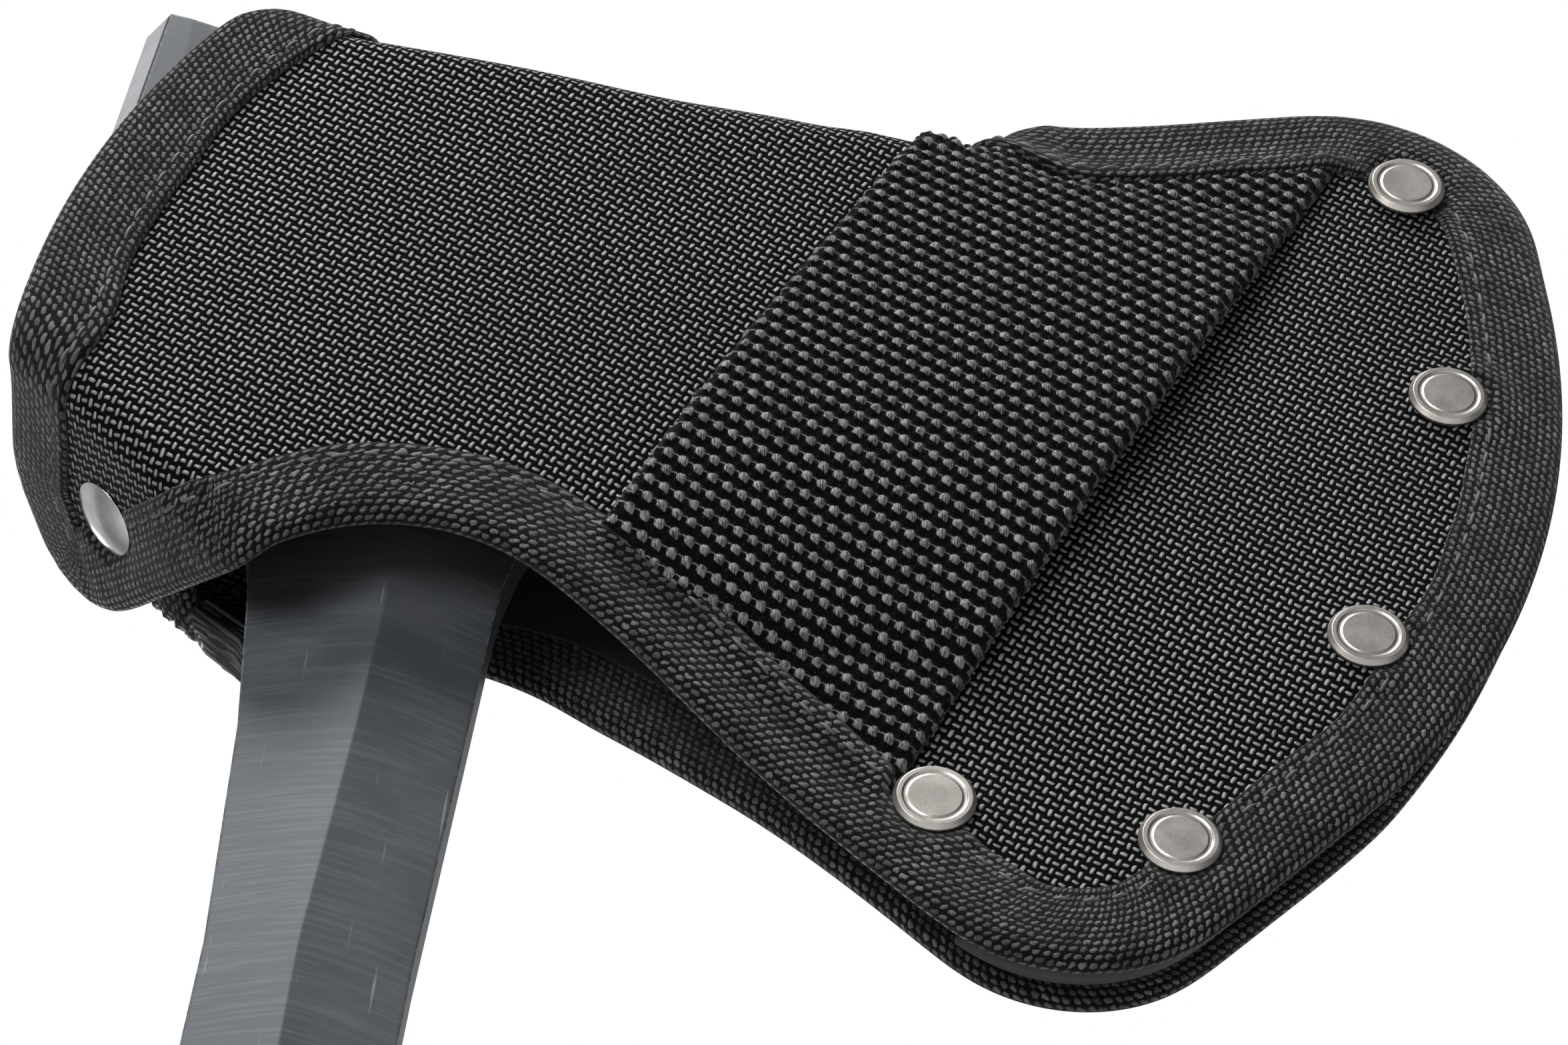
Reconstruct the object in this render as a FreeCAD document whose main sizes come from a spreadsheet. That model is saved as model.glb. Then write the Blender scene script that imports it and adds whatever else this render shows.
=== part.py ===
"""Sheathed hatchet: a one-piece forged hatchet in a riveted fabric sheath.

Frame: +Z runs up the handle to the head, +X points to the cutting edge, and -Y is
the side with the belt loop. The origin is the centre of the flat butt end. Millimetres.
"""
import FreeCAD, Part
import math
import os
import Sketcher

os.makedirs("parts", exist_ok=True)
DOC = FreeCAD.newDocument("sheathed_hatchet")
V = FreeCAD.Vector

FAR = 150.0

# ------------------------------------------------------------------ driving dimensions
DIMENSIONS = {
    # head: side view
    "poll_top_z": 346.2,
    "poll_top_x": -37.4,
    "poll_foot_x": -41.0,
    "poll_foot_z": 296.0,
    "crown_x": -8.0,
    "crown_z": 340.6,
    "neck_x": -21.0,
    "neck_z": 293.0,
    "throat_x": 20.0,
    "throat_z": 287.0,
    "chin_x": 27.0,
    "chin_z": 282.0,
    "beard_radius": 110.0,
    "edge_centre_x": 35.0,
    "edge_centre_z": 306.0,
    "edge_radius": 73.0,
    "toe_x": 98.0,
    "toe_z": 342.87,
    "heel_x": 90.0,
    "heel_z": 257.81,
    # head: thickness, measured from the middle plane
    "poll_half": 12.3,
    "eye_half": 11.6,
    "eye_end_x": -16.0,
    "cheek_end_x": 97.0,
    "cheek_end_half": 1.8,
    "cheek_radius": 450.0,
    "bevel_width": 9.0,
    "bevel_half": 2.4,
    "edge_half": 0.15,
    "poll_chamfer": 2.4,
    # shank and tang
    "shank_ridge_half": 5.3,
    "shank_edge_half": 2.7,
    "shank_low_z": 120.0,
    "shank_foot_half": 10.0,
    "tang_width": 16.0,
    "tang_thick": 5.0,
    "tang_low_z": 3.0,
    # grip
    "collar_low_z": 118.0,
    "collar_high_z": 126.0,
    "collar_round": 3.0,
    "grip_length": 34.0,
    "grip_depth": 25.0,
    "spacer_thick": 1.6,
    "spacer_count": 3,
    "washer_count": 24,
    "cap_high_z": 9.0,
    "cap_round": 2.0,
    "pin_radius": 2.0,
    "pin_z": 5.0,
    "pin_spacing": 9.0,
    "running_gap": 0.04,
    # sheath: half width of the walls at stations along X, upper part and lower edge
    "poll_station": -46.0,
    "eye_station": 8.0,
    "throat_station": 44.0,
    "fold_station": 58.0,
    "bit_station": 98.0,
    "rim_station": 131.0,
    "wall_poll": 16.2,
    "wall_eye": 15.0,
    "wall_throat": 11.4,
    "wall_fold": 10.0,
    "wall_bit": 6.0,
    "wall_rim": 4.4,
    "foot_poll": 16.0,
    "foot_eye": 12.5,
    "foot_throat": 5.0,
    "foot_fold": 4.5,
    "foot_bit": 4.3,
    "foot_rim": 4.2,
    "pinch_low_z": 246.0,
    "pinch_high_z": 286.0,
    "wall_low_z": 210.0,
    "wall_high_z": 375.0,
    # sheath: top fold
    "fold_z_at_zero": 347.0,
    "fold_slope": -0.05,
    "fold_radius": 7.0,
    # sheath: materials
    "fabric": 1.2,
    "tape": 0.9,
    "tape_width": 10.5,
    "tape_turn": 0.9,
    "liner": 1.2,
    "layer_gap": 0.05,
    "liner_top_z": 337.0,
    "liner_margin": 0.3,
    "welt_half": 1.5,
    "welt_inset_outer": 2.0,
    "welt_inset_inner": 17.0,
    "welt_toe_x": 100.0,
    "welt_heel_x": 56.0,
    "welt_heel_z": 262.0,
    "side_tape_top_z": 288.0,
    # belt loop
    "webbing_width": 42.0,
    "webbing_top_z": 340.0,
    "webbing_thick": 2.0,
    "webbing_margin": 0.4,
    "webbing_lean": 22.6,
    "webbing_centre_x": 58.2,
    "webbing_centre_z": 300.0,
    "webbing_room": 2.5,
    "webbing_free_low_z": 262.0,
    "webbing_free_mid_z": 318.0,
    "webbing_free_high_z": 338.0,
    # rivets
    "rivet_radius": 4.5,
    "rivet_height": 1.1,
    "rivet_post": 1.2,
    "rivet_tube": 1.7,
    "rivet_stem": 7.5,
    "rivet_hole": 1.8,
    "rivet_seat_gap": 0.35,
    "rivet_seat_room": 0.1,
    # retention flaps: the plane they wrap on and the line they fold along
    "wrap_lean": 47.15,
    "snap_x": -30.8,
    "snap_z": 276.3,
    "tongue_left": -17.3,
    "tongue_end": 16.4,
    "fold_line_top_x": -31.0,
    "fold_line_top_z": 337.0,
    "fold_line_lead": 15.0,
    "fold_line_foot_x": 17.0,
    "fold_line_foot_z": 265.5,
    "fold_line_gap": 0.15,
    "rear_tongue_offset": 3.9,
    "rear_tongue_end": 7.5,
    "snap_radius": 4.5,
    "snap_rim": 0.35,
    "snap_height": 1.25,
    "socket_radius": 4.1,
    "snap_barrel": 1.3,
    "stud_radius": 1.8,
}


def make_sheet():
    sheet = DOC.addObject("Spreadsheet::Sheet", "Dims")
    for row, (name, value) in enumerate(DIMENSIONS.items(), start=1):
        sheet.set(f"A{row}", name)
        sheet.set(f"B{row}", str(value))
        sheet.setAlias(f"B{row}", name)
    DOC.recompute()
    return sheet


SHEET = make_sheet()


def dim(name):
    return float(SHEET.get(name))


def cell(name):
    """The expression that reads one driving dimension."""
    return f"Dims.{name}"


# ------------------------------------------------------------------ PartDesign helpers
def new_body(label):
    body = DOC.addObject("PartDesign::Body", label)
    body.Label = label
    return body


def origin_plane(body, role):
    for feature in body.Origin.OriginFeatures:
        if feature.Role == role:
            return feature
    raise ValueError(role)


def sketch_on(body, role, name, offset=V(0, 0, 0)):
    sketch = body.newObject("Sketcher::SketchObject", name)
    sketch.AttachmentSupport = (origin_plane(body, role), [""])
    sketch.MapMode = "FlatFace"
    sketch.AttachmentOffset = FreeCAD.Placement(offset, FreeCAD.Rotation())
    return sketch


def number(expression):
    """Value of an expression over the sheet's cells, for a sketch's first guess."""
    if not isinstance(expression, str):
        return float(expression)
    return float(SHEET.evalExpression(expression))


def fix_point(sketch, geometry, end, point):
    """Hold one end of a sketch line at a place given by two expressions."""
    for kind, coordinate, axis in (("DistanceX", point[0], -2), ("DistanceY", point[1], -1)):
        value = number(coordinate)
        if abs(value) < 1e-9:
            sketch.addConstraint(Sketcher.Constraint("PointOnObject", geometry, end, axis))
            continue
        index = sketch.addConstraint(Sketcher.Constraint(kind, -1, 1, geometry, end, value))
        if isinstance(coordinate, str):
            sketch.setExpression(f"Constraints[{index}]", coordinate)


def draw_profile(sketch, points, arcs=None):
    """Closed outline through points; arcs maps a side's number to (through point, radius)."""
    arcs = arcs or {}
    count = len(points)
    for i, point in enumerate(points):
        start = V(number(point[0]), number(point[1]), 0)
        following = points[(i + 1) % count]
        end = V(number(following[0]), number(following[1]), 0)
        if i in arcs:
            middle, radius = arcs[i]
            curve = Part.Arc(start, V(middle[0], middle[1], 0), end)
            index = sketch.addGeometry(curve, False)
            forward = sketch.getPoint(index, 1).distanceToPoint(start) < 1e-6
            fix_point(sketch, index, 1 if forward else 2, point)
            fix_point(sketch, index, 2 if forward else 1, following)
            held = sketch.addConstraint(Sketcher.Constraint("Radius", index, number(radius)))
            sketch.setExpression(f"Constraints[{held}]", radius)
        else:
            index = sketch.addGeometry(Part.LineSegment(start, end), False)
            fix_point(sketch, index, 1, point)
            fix_point(sketch, index, 2, following)


def arc_middle(start, end, radius, side):
    """Point half way along an arc of given radius; side is +1 left of start-end, -1 right."""
    chord = end - start
    half = chord.Length / 2
    rise = radius - math.sqrt(radius * radius - half * half)
    left = V(-chord.y, chord.x, 0).normalize()
    middle = (start + end) * 0.5 + left * (side * rise)
    return (middle.x, middle.y)


def turned_body(label, profile, arcs=None):
    """Body turned about its own Z axis from a profile of (radius, height) points."""
    body = new_body(label)
    sketch = sketch_on(body, "XZ_Plane", f"{label}_profile")
    draw_profile(sketch, profile, arcs)
    turned = body.newObject("PartDesign::Revolution", f"{label}_turn")
    turned.Profile = sketch
    turned.ReferenceAxis = (sketch, ["V_Axis"])
    turned.Angle = 360
    body.Tip = turned
    return body


# ------------------------------------------------------------------ hatchet
def make_forging():
    """Head, shank and tang: one piece of steel."""
    body = new_body("axe_forging")
    side = sketch_on(body, "XZ_Plane", "head_side")
    names = [("poll_top_x", "poll_top_z"), ("crown_x", "crown_z"), ("toe_x", "toe_z"),
             ("heel_x", "heel_z"), ("chin_x", "chin_z"), ("throat_x", "throat_z"),
             ("neck_x", "neck_z"), ("poll_foot_x", "poll_foot_z")]
    points = [(cell(a), cell(b)) for a, b in names]
    at = {a: V(number(cell(a)), number(cell(b)), 0) for a, b in names}
    arcs = {
        2: (arc_middle(at["toe_x"], at["heel_x"], dim("edge_radius"), 1), cell("edge_radius")),
        3: (arc_middle(at["heel_x"], at["chin_x"], dim("beard_radius"), -1), cell("beard_radius")),
    }
    draw_profile(side, points, arcs)
    head = body.newObject("PartDesign::Pad", "head_blank")
    head.Profile = side
    head.Midplane = True
    head.setExpression("Length", f"2 * {cell('poll_half')}")
    DOC.recompute()

    thin_the_cheeks(body)
    grind_the_bevel(body)
    add_shank(body)

    tang = sketch_on(body, "XY_Plane", "tang_section", V(0, 0, dim("tang_low_z")))
    tang.setExpression("AttachmentOffset.Base.z", cell("tang_low_z"))
    wide, thick = f"{cell('tang_width')} / 2", f"{cell('tang_thick')} / 2"
    draw_profile(tang, [(f"-{wide}", f"-{thick}"), (wide, f"-{thick}"), (wide, thick),
                        (f"-{wide}", thick)])
    bar = body.newObject("PartDesign::Pad", "tang")
    bar.Profile = tang
    bar.setExpression("Length", f"{cell('shank_low_z')} + 4 - {cell('tang_low_z')}")
    DOC.recompute()
    drill_tang(body)
    chamfer_poll(body)
    return body


def thin_the_cheeks(body):
    """Cut both cheeks back to the wedge seen from above."""
    for side in (1, -1):
        sketch = sketch_on(body, "XY_Plane", f"cheek_{'left' if side > 0 else 'right'}")
        sign = "" if side > 0 else "-"
        outside = f"{sign}({cell('poll_half')} + 4)"
        points = [
            (f"{cell('poll_top_x')} + 14", f"{sign}{cell('eye_half')}"),
            (cell("eye_end_x"), f"{sign}{cell('eye_half')}"),
            (cell("cheek_end_x"), f"{sign}{cell('cheek_end_half')}"),
            (f"{cell('edge_centre_x')} + {cell('edge_radius')} + 4",
             f"{sign}{cell('cheek_end_half')}"),
            (f"{cell('edge_centre_x')} + {cell('edge_radius')} + 4", outside),
            (f"{cell('poll_top_x')} + 5", outside),
            (f"{cell('poll_top_x')} + 5", f"{sign}{cell('poll_half')}"),
        ]
        start = V(number(points[1][0]), number(points[1][1]), 0)
        end = V(number(points[2][0]), number(points[2][1]), 0)
        hollow = (arc_middle(start, end, dim("cheek_radius"), -side), cell("cheek_radius"))
        draw_profile(sketch, points, {1: hollow})
        before = body.Shape.Volume
        cut = body.newObject("PartDesign::Pocket", f"{sketch.Name}_cut")
        cut.Profile = sketch
        cut.Reversed = True
        cut.Length = 3 * FAR
        DOC.recompute()
        check_removed(body, before)


def check_removed(body, before):
    if body.Shape.Volume >= before:
        raise RuntimeError(f"a cut in {body.Label} removed nothing")


def grind_the_bevel(body):
    """Bevels that follow the curve of the cutting edge."""
    centre = V(dim("edge_centre_x"), 0, dim("edge_centre_z"))
    for side in (1, -1):
        sketch = sketch_on(body, "XY_Plane", f"bevel_{'left' if side > 0 else 'right'}", centre)
        sketch.setExpression("AttachmentOffset.Base.x", cell("edge_centre_x"))
        sketch.setExpression("AttachmentOffset.Base.z", cell("edge_centre_z"))
        sign = "" if side > 0 else "-"
        inner = f"{cell('edge_radius')} - {cell('bevel_width')}"
        beyond = f"{cell('edge_radius')} + 3"
        draw_profile(sketch, [
            (inner, f"{sign}{cell('bevel_half')}"),
            (cell("edge_radius"), f"{sign}{cell('edge_half')}"),
            (beyond, f"{sign}{cell('edge_half')}"),
            (beyond, f"{sign}({cell('poll_half')} + 4)"),
            (inner, f"{sign}({cell('poll_half')} + 4)"),
        ])
        before = body.Shape.Volume
        ground = body.newObject("PartDesign::Groove", f"{sketch.Name}_grind")
        ground.Profile = sketch
        ground.ReferenceAxis = (sketch, ["V_Axis"])
        ground.Midplane = True
        ground.Angle = 110
        DOC.recompute()
        check_removed(body, before)


# Shank stations from the head down: height, poll side, edge side, ridge (all along X).
SHANK_STATIONS = [
    (298.0, -22.5, 24.0, 1.8),
    (291.0, -20.2, 21.0, 1.8),
    (284.0, -17.6, 17.2, 1.8),
    (277.0, -15.6, 14.9, 1.7),
    (270.0, -14.2, 13.6, 1.6),
    (264.0, -13.4, 13.2, 1.6),
    (246.0, -11.6, 12.5, 1.0),
    (216.0, -10.4, 11.3, -0.6),
    (192.0, -10.8, 10.8, -0.6),
]


def add_shank(body):
    """Six-sided shank that flares into the head and swells a little above the grip."""
    foot = dim("shank_foot_half")
    ridge, edge = cell("shank_ridge_half"), cell("shank_edge_half")
    sections = []
    for height, west, east, top in SHANK_STATIONS + [(dim("shank_low_z"), -foot, foot, 0.0)]:
        sketch = sketch_on(body, "XY_Plane", f"shank_{int(height)}", V(0, 0, height))
        draw_profile(sketch, [
            (west, f"-{edge}"), (top, f"-{ridge}"), (east, f"-{edge}"),
            (east, edge), (top, ridge), (west, edge),
        ])
        sections.append(sketch)
    loft = body.newObject("PartDesign::AdditiveLoft", "shank")
    loft.Profile = sections[0]
    loft.Sections = sections[1:]
    loft.Ruled = True
    DOC.recompute()


def drill_tang(body):
    """Cross holes for the two butt pins."""
    sketch = sketch_on(body, "XZ_Plane", "tang_holes")
    for side in ("", "-"):
        place = f"{side}{cell('pin_spacing')} / 2"
        centre = V(number(place), dim("pin_z"), 0)
        index = sketch.addGeometry(Part.Circle(centre, V(0, 0, 1), dim("pin_radius")), False)
        fix_point(sketch, index, 3, (place, cell("pin_z")))
        held = sketch.addConstraint(Sketcher.Constraint("Radius", index, dim("pin_radius")))
        sketch.setExpression(f"Constraints[{held}]",
                             f"{cell('pin_radius')} + {cell('running_gap')}")
    before = body.Shape.Volume
    holes = body.newObject("PartDesign::Pocket", "pin_holes")
    holes.Profile = sketch
    holes.Midplane = True
    holes.Length = 60
    DOC.recompute()
    check_removed(body, before)


def chamfer_poll(body):
    """Break the four edges of the striking face."""
    tip = body.Tip
    names = []
    for number_, edge in enumerate(tip.Shape.Edges, start=1):
        box = edge.BoundBox
        steep = box.XMin < dim("poll_foot_x") + 4 and box.XMax < dim("poll_top_x") + 1
        if steep and box.ZMin > dim("poll_foot_z") - 1:
            names.append(f"Edge{number_}")
    chamfer = body.newObject("PartDesign::Chamfer", "poll_chamfer")
    chamfer.Base = (tip, names)
    chamfer.setExpression("Size", cell("poll_chamfer"))
    DOC.recompute()


def grip_size(height):
    """Length and depth of the oval grip at a height: waisted, and flared at the butt."""
    low, high = dim("cap_high_z"), dim("collar_low_z")
    share = (height - low) / (high - low)
    swell = 1.5 * math.cos(2 * math.pi * (share - 0.55)) + 4.0 * max(0.0, 0.28 - share) / 0.28
    fade = -2.5 * max(0.0, share - 0.8) / 0.2
    return dim("grip_length") - 2 + swell + fade, dim("grip_depth") - 1 + 0.6 * (swell + fade)


def oval(height, grow=0.0):
    length, depth = grip_size(height)
    ellipse = Part.Ellipse(V(0, 0, height), length / 2 + grow, depth / 2 + grow)
    return Part.Wire([ellipse.toShape()])


def tang_core(low, high):
    gap = dim("running_gap")
    width, thick = dim("tang_width") + 2 * gap, dim("tang_thick") + 2 * gap
    return Part.makeBox(width, thick, high - low, V(-width / 2, -thick / 2, low))


def disc(low, high, grow=0.0):
    """Oval slice of the grip with the slot for the tang."""
    blank = Part.makeLoft([oval(low, grow), oval(high, grow)], True, True)
    return blank.cut(tang_core(low - 1, high + 1))


def feature(label, shape):
    item = DOC.addObject("Part::Feature", label)
    item.Label = label
    item.Shape = shape
    return item


def make_grip():
    """Leather washers between two sets of thin spacers, all threaded on the tang."""
    spacer, count = dim("spacer_thick"), int(dim("spacer_count"))
    gap = dim("running_gap")
    low, high = dim("cap_high_z"), dim("collar_low_z")
    band = spacer * count
    for label, start in (("rear_spacers", low), ("front_spacers", high - band)):
        slices = []
        for i in range(count):
            foot = start + i * spacer
            slices.append(disc(foot + gap, foot + spacer - gap, 0.05))
        feature(label, Part.makeCompound(slices))
    washers = int(dim("washer_count"))
    pitch = (high - low - 2 * band) / washers
    slices = []
    for i in range(washers):
        foot = low + band + i * pitch
        slices.append(disc(foot + gap, foot + pitch - gap))
    feature("leather_washers", Part.makeCompound(slices))


def oval_sketch(body, name, height, long_half, short_half):
    sketch = sketch_on(body, "XY_Plane", name, V(0, 0, height))
    shape = Part.Ellipse(V(0, 0, 0), long_half, short_half)
    sketch.addGeometry(shape, False)
    return sketch


def slot_the_tang(body, name, height, length):
    """Slot through a grip fitting for the tang."""
    sketch = sketch_on(body, "XY_Plane", name, V(0, 0, height))
    wide = f"{cell('tang_width')} / 2 + {cell('running_gap')}"
    thick = f"{cell('tang_thick')} / 2 + {cell('running_gap')}"
    draw_profile(sketch, [(f"-({wide})", f"-({thick})"), (wide, f"-({thick})"), (wide, thick),
                          (f"-({wide})", thick)])
    before = body.Shape.Volume
    slot = body.newObject("PartDesign::Pocket", f"{name}_cut")
    slot.Profile = sketch
    slot.Reversed = True
    slot.Length = length
    DOC.recompute()
    check_removed(body, before)


def make_collar():
    """Steel collar between the shank and the grip, hollowed for the shank's end."""
    body = new_body("grip_collar")
    low, high = dim("collar_low_z"), dim("collar_high_z")
    length, depth = grip_size(low)
    sketch = oval_sketch(body, "collar_oval", low, length / 2, depth / 2)
    pad = body.newObject("PartDesign::Pad", "collar_blank")
    pad.Profile = sketch
    pad.setExpression("Length", f"{cell('collar_high_z')} - {cell('collar_low_z')}")
    DOC.recompute()
    rims = []
    for number_, edge in enumerate(pad.Shape.Edges, start=1):
        if edge.BoundBox.ZMin > high - 0.1:
            rims.append(f"Edge{number_}")
    rounded = body.newObject("PartDesign::Fillet", "collar_rim")
    rounded.Base = (pad, rims)
    rounded.setExpression("Radius", cell("collar_round"))
    DOC.recompute()
    slot_the_tang(body, "collar_slot", low - 1, high - low + 2)
    recess = sketch_on(body, "XY_Plane", "collar_recess", V(0, 0, dim("shank_low_z") - 0.05))
    gap = f"2 * {cell('running_gap')}"
    east = f"{cell('shank_foot_half')} + {gap}"
    ridge, edge = f"{cell('shank_ridge_half')} + {gap}", f"{cell('shank_edge_half')} + {gap}"
    draw_profile(recess, [(f"-({east})", f"-({edge})"), (0, f"-({ridge})"), (east, f"-({edge})"),
                          (east, edge), (0, ridge), (f"-({east})", edge)])
    before = body.Shape.Volume
    cut = body.newObject("PartDesign::Pocket", "collar_recess_cut")
    cut.Profile = recess
    cut.Reversed = True
    cut.Length = high
    DOC.recompute()
    check_removed(body, before)
    return body


def make_butt_cap():
    """Steel cap that closes the grip; two pins cross it and the tang."""
    body = new_body("butt_cap")
    high = dim("cap_high_z")
    length, depth = grip_size(high)
    sketch = oval_sketch(body, "cap_oval", 0, length / 2 + 0.3, depth / 2 + 0.3)
    pad = body.newObject("PartDesign::Pad", "cap_blank")
    pad.Profile = sketch
    pad.setExpression("Length", cell("cap_high_z"))
    DOC.recompute()
    rims = []
    for number_, edge in enumerate(pad.Shape.Edges, start=1):
        if edge.BoundBox.ZMax < 0.1:
            rims.append(f"Edge{number_}")
    rounded = body.newObject("PartDesign::Fillet", "cap_rim")
    rounded.Base = (pad, rims)
    rounded.setExpression("Radius", cell("cap_round"))
    DOC.recompute()
    slot_the_tang(body, "cap_slot", dim("tang_low_z") - 0.05, high)
    drill_tang(body)
    return body


def make_butt_pins():
    """Two pins across the butt cap, flush with its sides."""
    pins = []
    for side in (1, -1):
        pin = DOC.addObject("Part::Cylinder", f"butt_pin_{'a' if side > 0 else 'b'}")
        pin.setExpression("Radius", cell("pin_radius"))
        place = side * dim("pin_spacing") / 2
        length, depth = grip_size(dim("cap_high_z"))
        reach = (depth / 2 + 0.3) * math.sqrt(1 - (2 * place / (length + 0.6)) ** 2) + 0.1
        pin.Height = 2 * reach
        turn = FreeCAD.Rotation(V(1, 0, 0), -90)
        pin.Placement = FreeCAD.Placement(V(place, -reach, dim("pin_z")), turn)
        pins.append(pin)
    group = DOC.addObject("Part::Compound", "butt_pins")
    group.Label = "butt_pins"
    group.Links = pins


# ------------------------------------------------------------------ sheath: wall surfaces
def stations():
    return [dim(f"{name}_station") for name in ("poll", "eye", "throat", "fold", "bit", "rim")]


def along(x, prefix):
    """Half width at x, straight between the stations, for the wall or its foot."""
    places = stations()
    widths = [dim(f"{prefix}_{name}") for name in ("poll", "eye", "throat", "fold", "bit", "rim")]
    for i in range(len(places) - 1):
        if x <= places[i + 1] or i == len(places) - 2:
            share = (x - places[i]) / (places[i + 1] - places[i])
            return widths[i] + share * (widths[i + 1] - widths[i])
    return widths[-1]


def half_width(x, z):
    """Distance from the middle plane to the outside of the fabric wall."""
    low, high = dim("pinch_low_z"), dim("pinch_high_z")
    share = min(1.0, max(0.0, (high - z) / (high - low)))
    return (1 - share) * along(x, "wall") + share * along(x, "foot")


def fold_height(x):
    return dim("fold_z_at_zero") + dim("fold_slope") * x


def levels(*names):
    """Heights at which the walls are drawn, with any more dimensions named."""
    always = ("wall_low_z", "pinch_low_z", "pinch_high_z", "wall_high_z")
    return sorted(dim(name) for name in always + names)


def block(west=-FAR, east=2 * FAR, low=0.0, high=3 * FAR, front=-FAR, back=FAR):
    """Block for cutting and keeping; a side left out lies well beyond the part."""
    return Part.makeBox(east - west, back - front, high - low, V(west, front, low))


def polygon(points):
    return Part.makePolygon(points + points[:1])


def layer(offset, thickness, raised=None):
    """Sheet that follows the front wall, from offset inside its outer face inwards.

    raised, if given, lifts the sheet off the wall by an amount that depends on height.
    """
    heights = levels()
    if raised:
        heights = levels("webbing_free_low_z", "webbing_free_mid_z", "webbing_free_high_z")
    raised = raised or (lambda z: 0.0)
    sections = []
    for x in stations():
        outer = [V(x, -(half_width(x, z) - offset + raised(z)), z) for z in heights]
        inner = [point + V(0, thickness, 0) for point in reversed(outer)]
        sections.append(polygon(outer + inner))
    return Part.makeLoft(sections, True, True)


def fold_section(x, offset):
    """One side, shoulder and top of the folded cover at x, as a list of edges."""
    low, mid, high = levels()[:3]
    top = fold_height(x) - offset
    radius = dim("fold_radius") - offset
    wall = half_width(x, top) - offset
    shoulder = top - radius
    bend = radius * math.sin(math.radians(45))
    leg = [V(x, -(half_width(x, z) - offset), z) for z in (low, mid, high)]
    leg.append(V(x, -wall, shoulder))
    arc = [leg[-1], V(x, -wall + radius - bend, shoulder + bend), V(x, -wall + radius, top)]
    return leg, arc


def shell_section(x, offset, thickness):
    """Closed cross section of the folded cover: down both walls and over the top."""
    edges = []
    rims = []
    for inset in (offset, offset + thickness):
        leg, arc = fold_section(x, inset)
        mirror = [V(p.x, -p.y, p.z) for p in leg]
        mirror_arc = [V(p.x, -p.y, p.z) for p in arc]
        side = [Part.makeLine(a, b) for a, b in zip(leg, leg[1:])]
        side.append(Part.Arc(*arc).toShape())
        side.append(Part.makeLine(arc[2], mirror_arc[2]))
        side.append(Part.Arc(mirror_arc[2], mirror_arc[1], mirror_arc[0]).toShape())
        side += [Part.makeLine(b, a) for a, b in reversed(list(zip(mirror, mirror[1:])))]
        edges.append(side)
        rims.append((leg[0], mirror[0]))
    closing = [Part.makeLine(rims[0][1], rims[1][1]), Part.makeLine(rims[1][0], rims[0][0])]
    loop = edges[0] + [closing[0]] + edges[1][::-1] + [closing[1]]
    return Part.Wire(Part.sortEdges(loop)[0])


def folded_shell(offset, thickness):
    """Folded cover between the poll opening and the end of the fold."""
    places = stations()[:4]
    return Part.makeLoft([shell_section(x, offset, thickness) for x in places], True, True)


def mirrored(shape):
    return shape.mirror(V(0, 0, 0), V(0, 1, 0))


# ------------------------------------------------------------------ sheath: outline
def arc_through(*points):
    return Part.Arc(*[V(x, 0, z) for x, z in points]).toShape()


def line_through(*points):
    return Part.makeLine(*[V(x, 0, z) for x, z in points])


TOE_START, TOE_MID, TOE_END = (97, 358.2), (117, 354.5), (125.5, 339)
BIT_MID, BIT_END = (128.3, 307), (112, 256)
HEEL_START, HEEL_MID, HEEL_END = (93.5, 232.5), (80, 225), (65.5, 228.8)
THROAT_START, THROAT_END = (29, 257.8), (20.7, 263.5)
ARCH_TOP, ARCH_END = (3, 268.2), (-13.2, 259.8)
MOUTH_FOOT, MOUTH_MID, MOUTH_TOP = (-43.3, 284), (-39.3, 316), (-27, 344)
CREST = (-14, 352)
FOLD_TOP_END = (58, 352)
TOE_EDGE_START = (58, 347.2)


def outline_face(inset=0.0):
    """Side view of one panel, with the corner that turns under the poll run on past the fold."""
    loop = [
        line_through(TOE_EDGE_START, TOE_START),
        arc_through(TOE_START, TOE_MID, TOE_END),
        arc_through(TOE_END, BIT_MID, BIT_END),
        line_through(BIT_END, HEEL_START),
        arc_through(HEEL_START, HEEL_MID, HEEL_END),
        line_through(HEEL_END, THROAT_START),
        line_through(THROAT_START, THROAT_END),
        arc_through(THROAT_END, ARCH_TOP, ARCH_END),
        line_through(ARCH_END, (-21, 244)),
        line_through((-21, 244), (-43.3, 244)),
        line_through((-43.3, 244), MOUTH_FOOT),
        arc_through(MOUTH_FOOT, MOUTH_MID, MOUTH_TOP),
        line_through(MOUTH_TOP, CREST),
        line_through(CREST, FOLD_TOP_END),
        line_through(FOLD_TOP_END, TOE_EDGE_START),
    ]
    face = Part.Face(Part.Wire(loop))
    if inset:
        face = face.makeOffset2D(-inset)
    return face


def prism(face, low=-FAR, high=FAR):
    """Side-view face run through the sheath from y = low to y = high."""
    moved = face.copy()
    moved.translate(V(0, low, 0))
    return moved.extrude(V(0, high - low, 0))


def side_of_fold_line(root_side, gap):
    """Everything on one side of the line along which the poll corners swing."""
    top = V(dim("fold_line_top_x"), 0, dim("fold_line_top_z"))
    foot = V(dim("fold_line_foot_x"), 0, dim("fold_line_foot_z"))
    run = (foot - top).normalize()
    out = V(run.z, 0, -run.x) * (1 if root_side else -1)
    if (out.x > 0) != root_side:
        out = out * -1
    start = top - run * dim("fold_line_lead") + out * gap
    end = foot + run * FAR + out * gap
    face = Part.Face(polygon([start, end, end + out * FAR, start + out * FAR]))
    return prism(face)


def root_region(inset):
    """Panel outline on the fixed side of the fold line; the top fold is always fixed."""
    region = prism(outline_face(inset))
    fixed = side_of_fold_line(True, dim("fold_line_gap"))
    above = block(low=dim("fold_line_top_z"))
    return region.common(fixed.fuse(above).removeSplitter())


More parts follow.
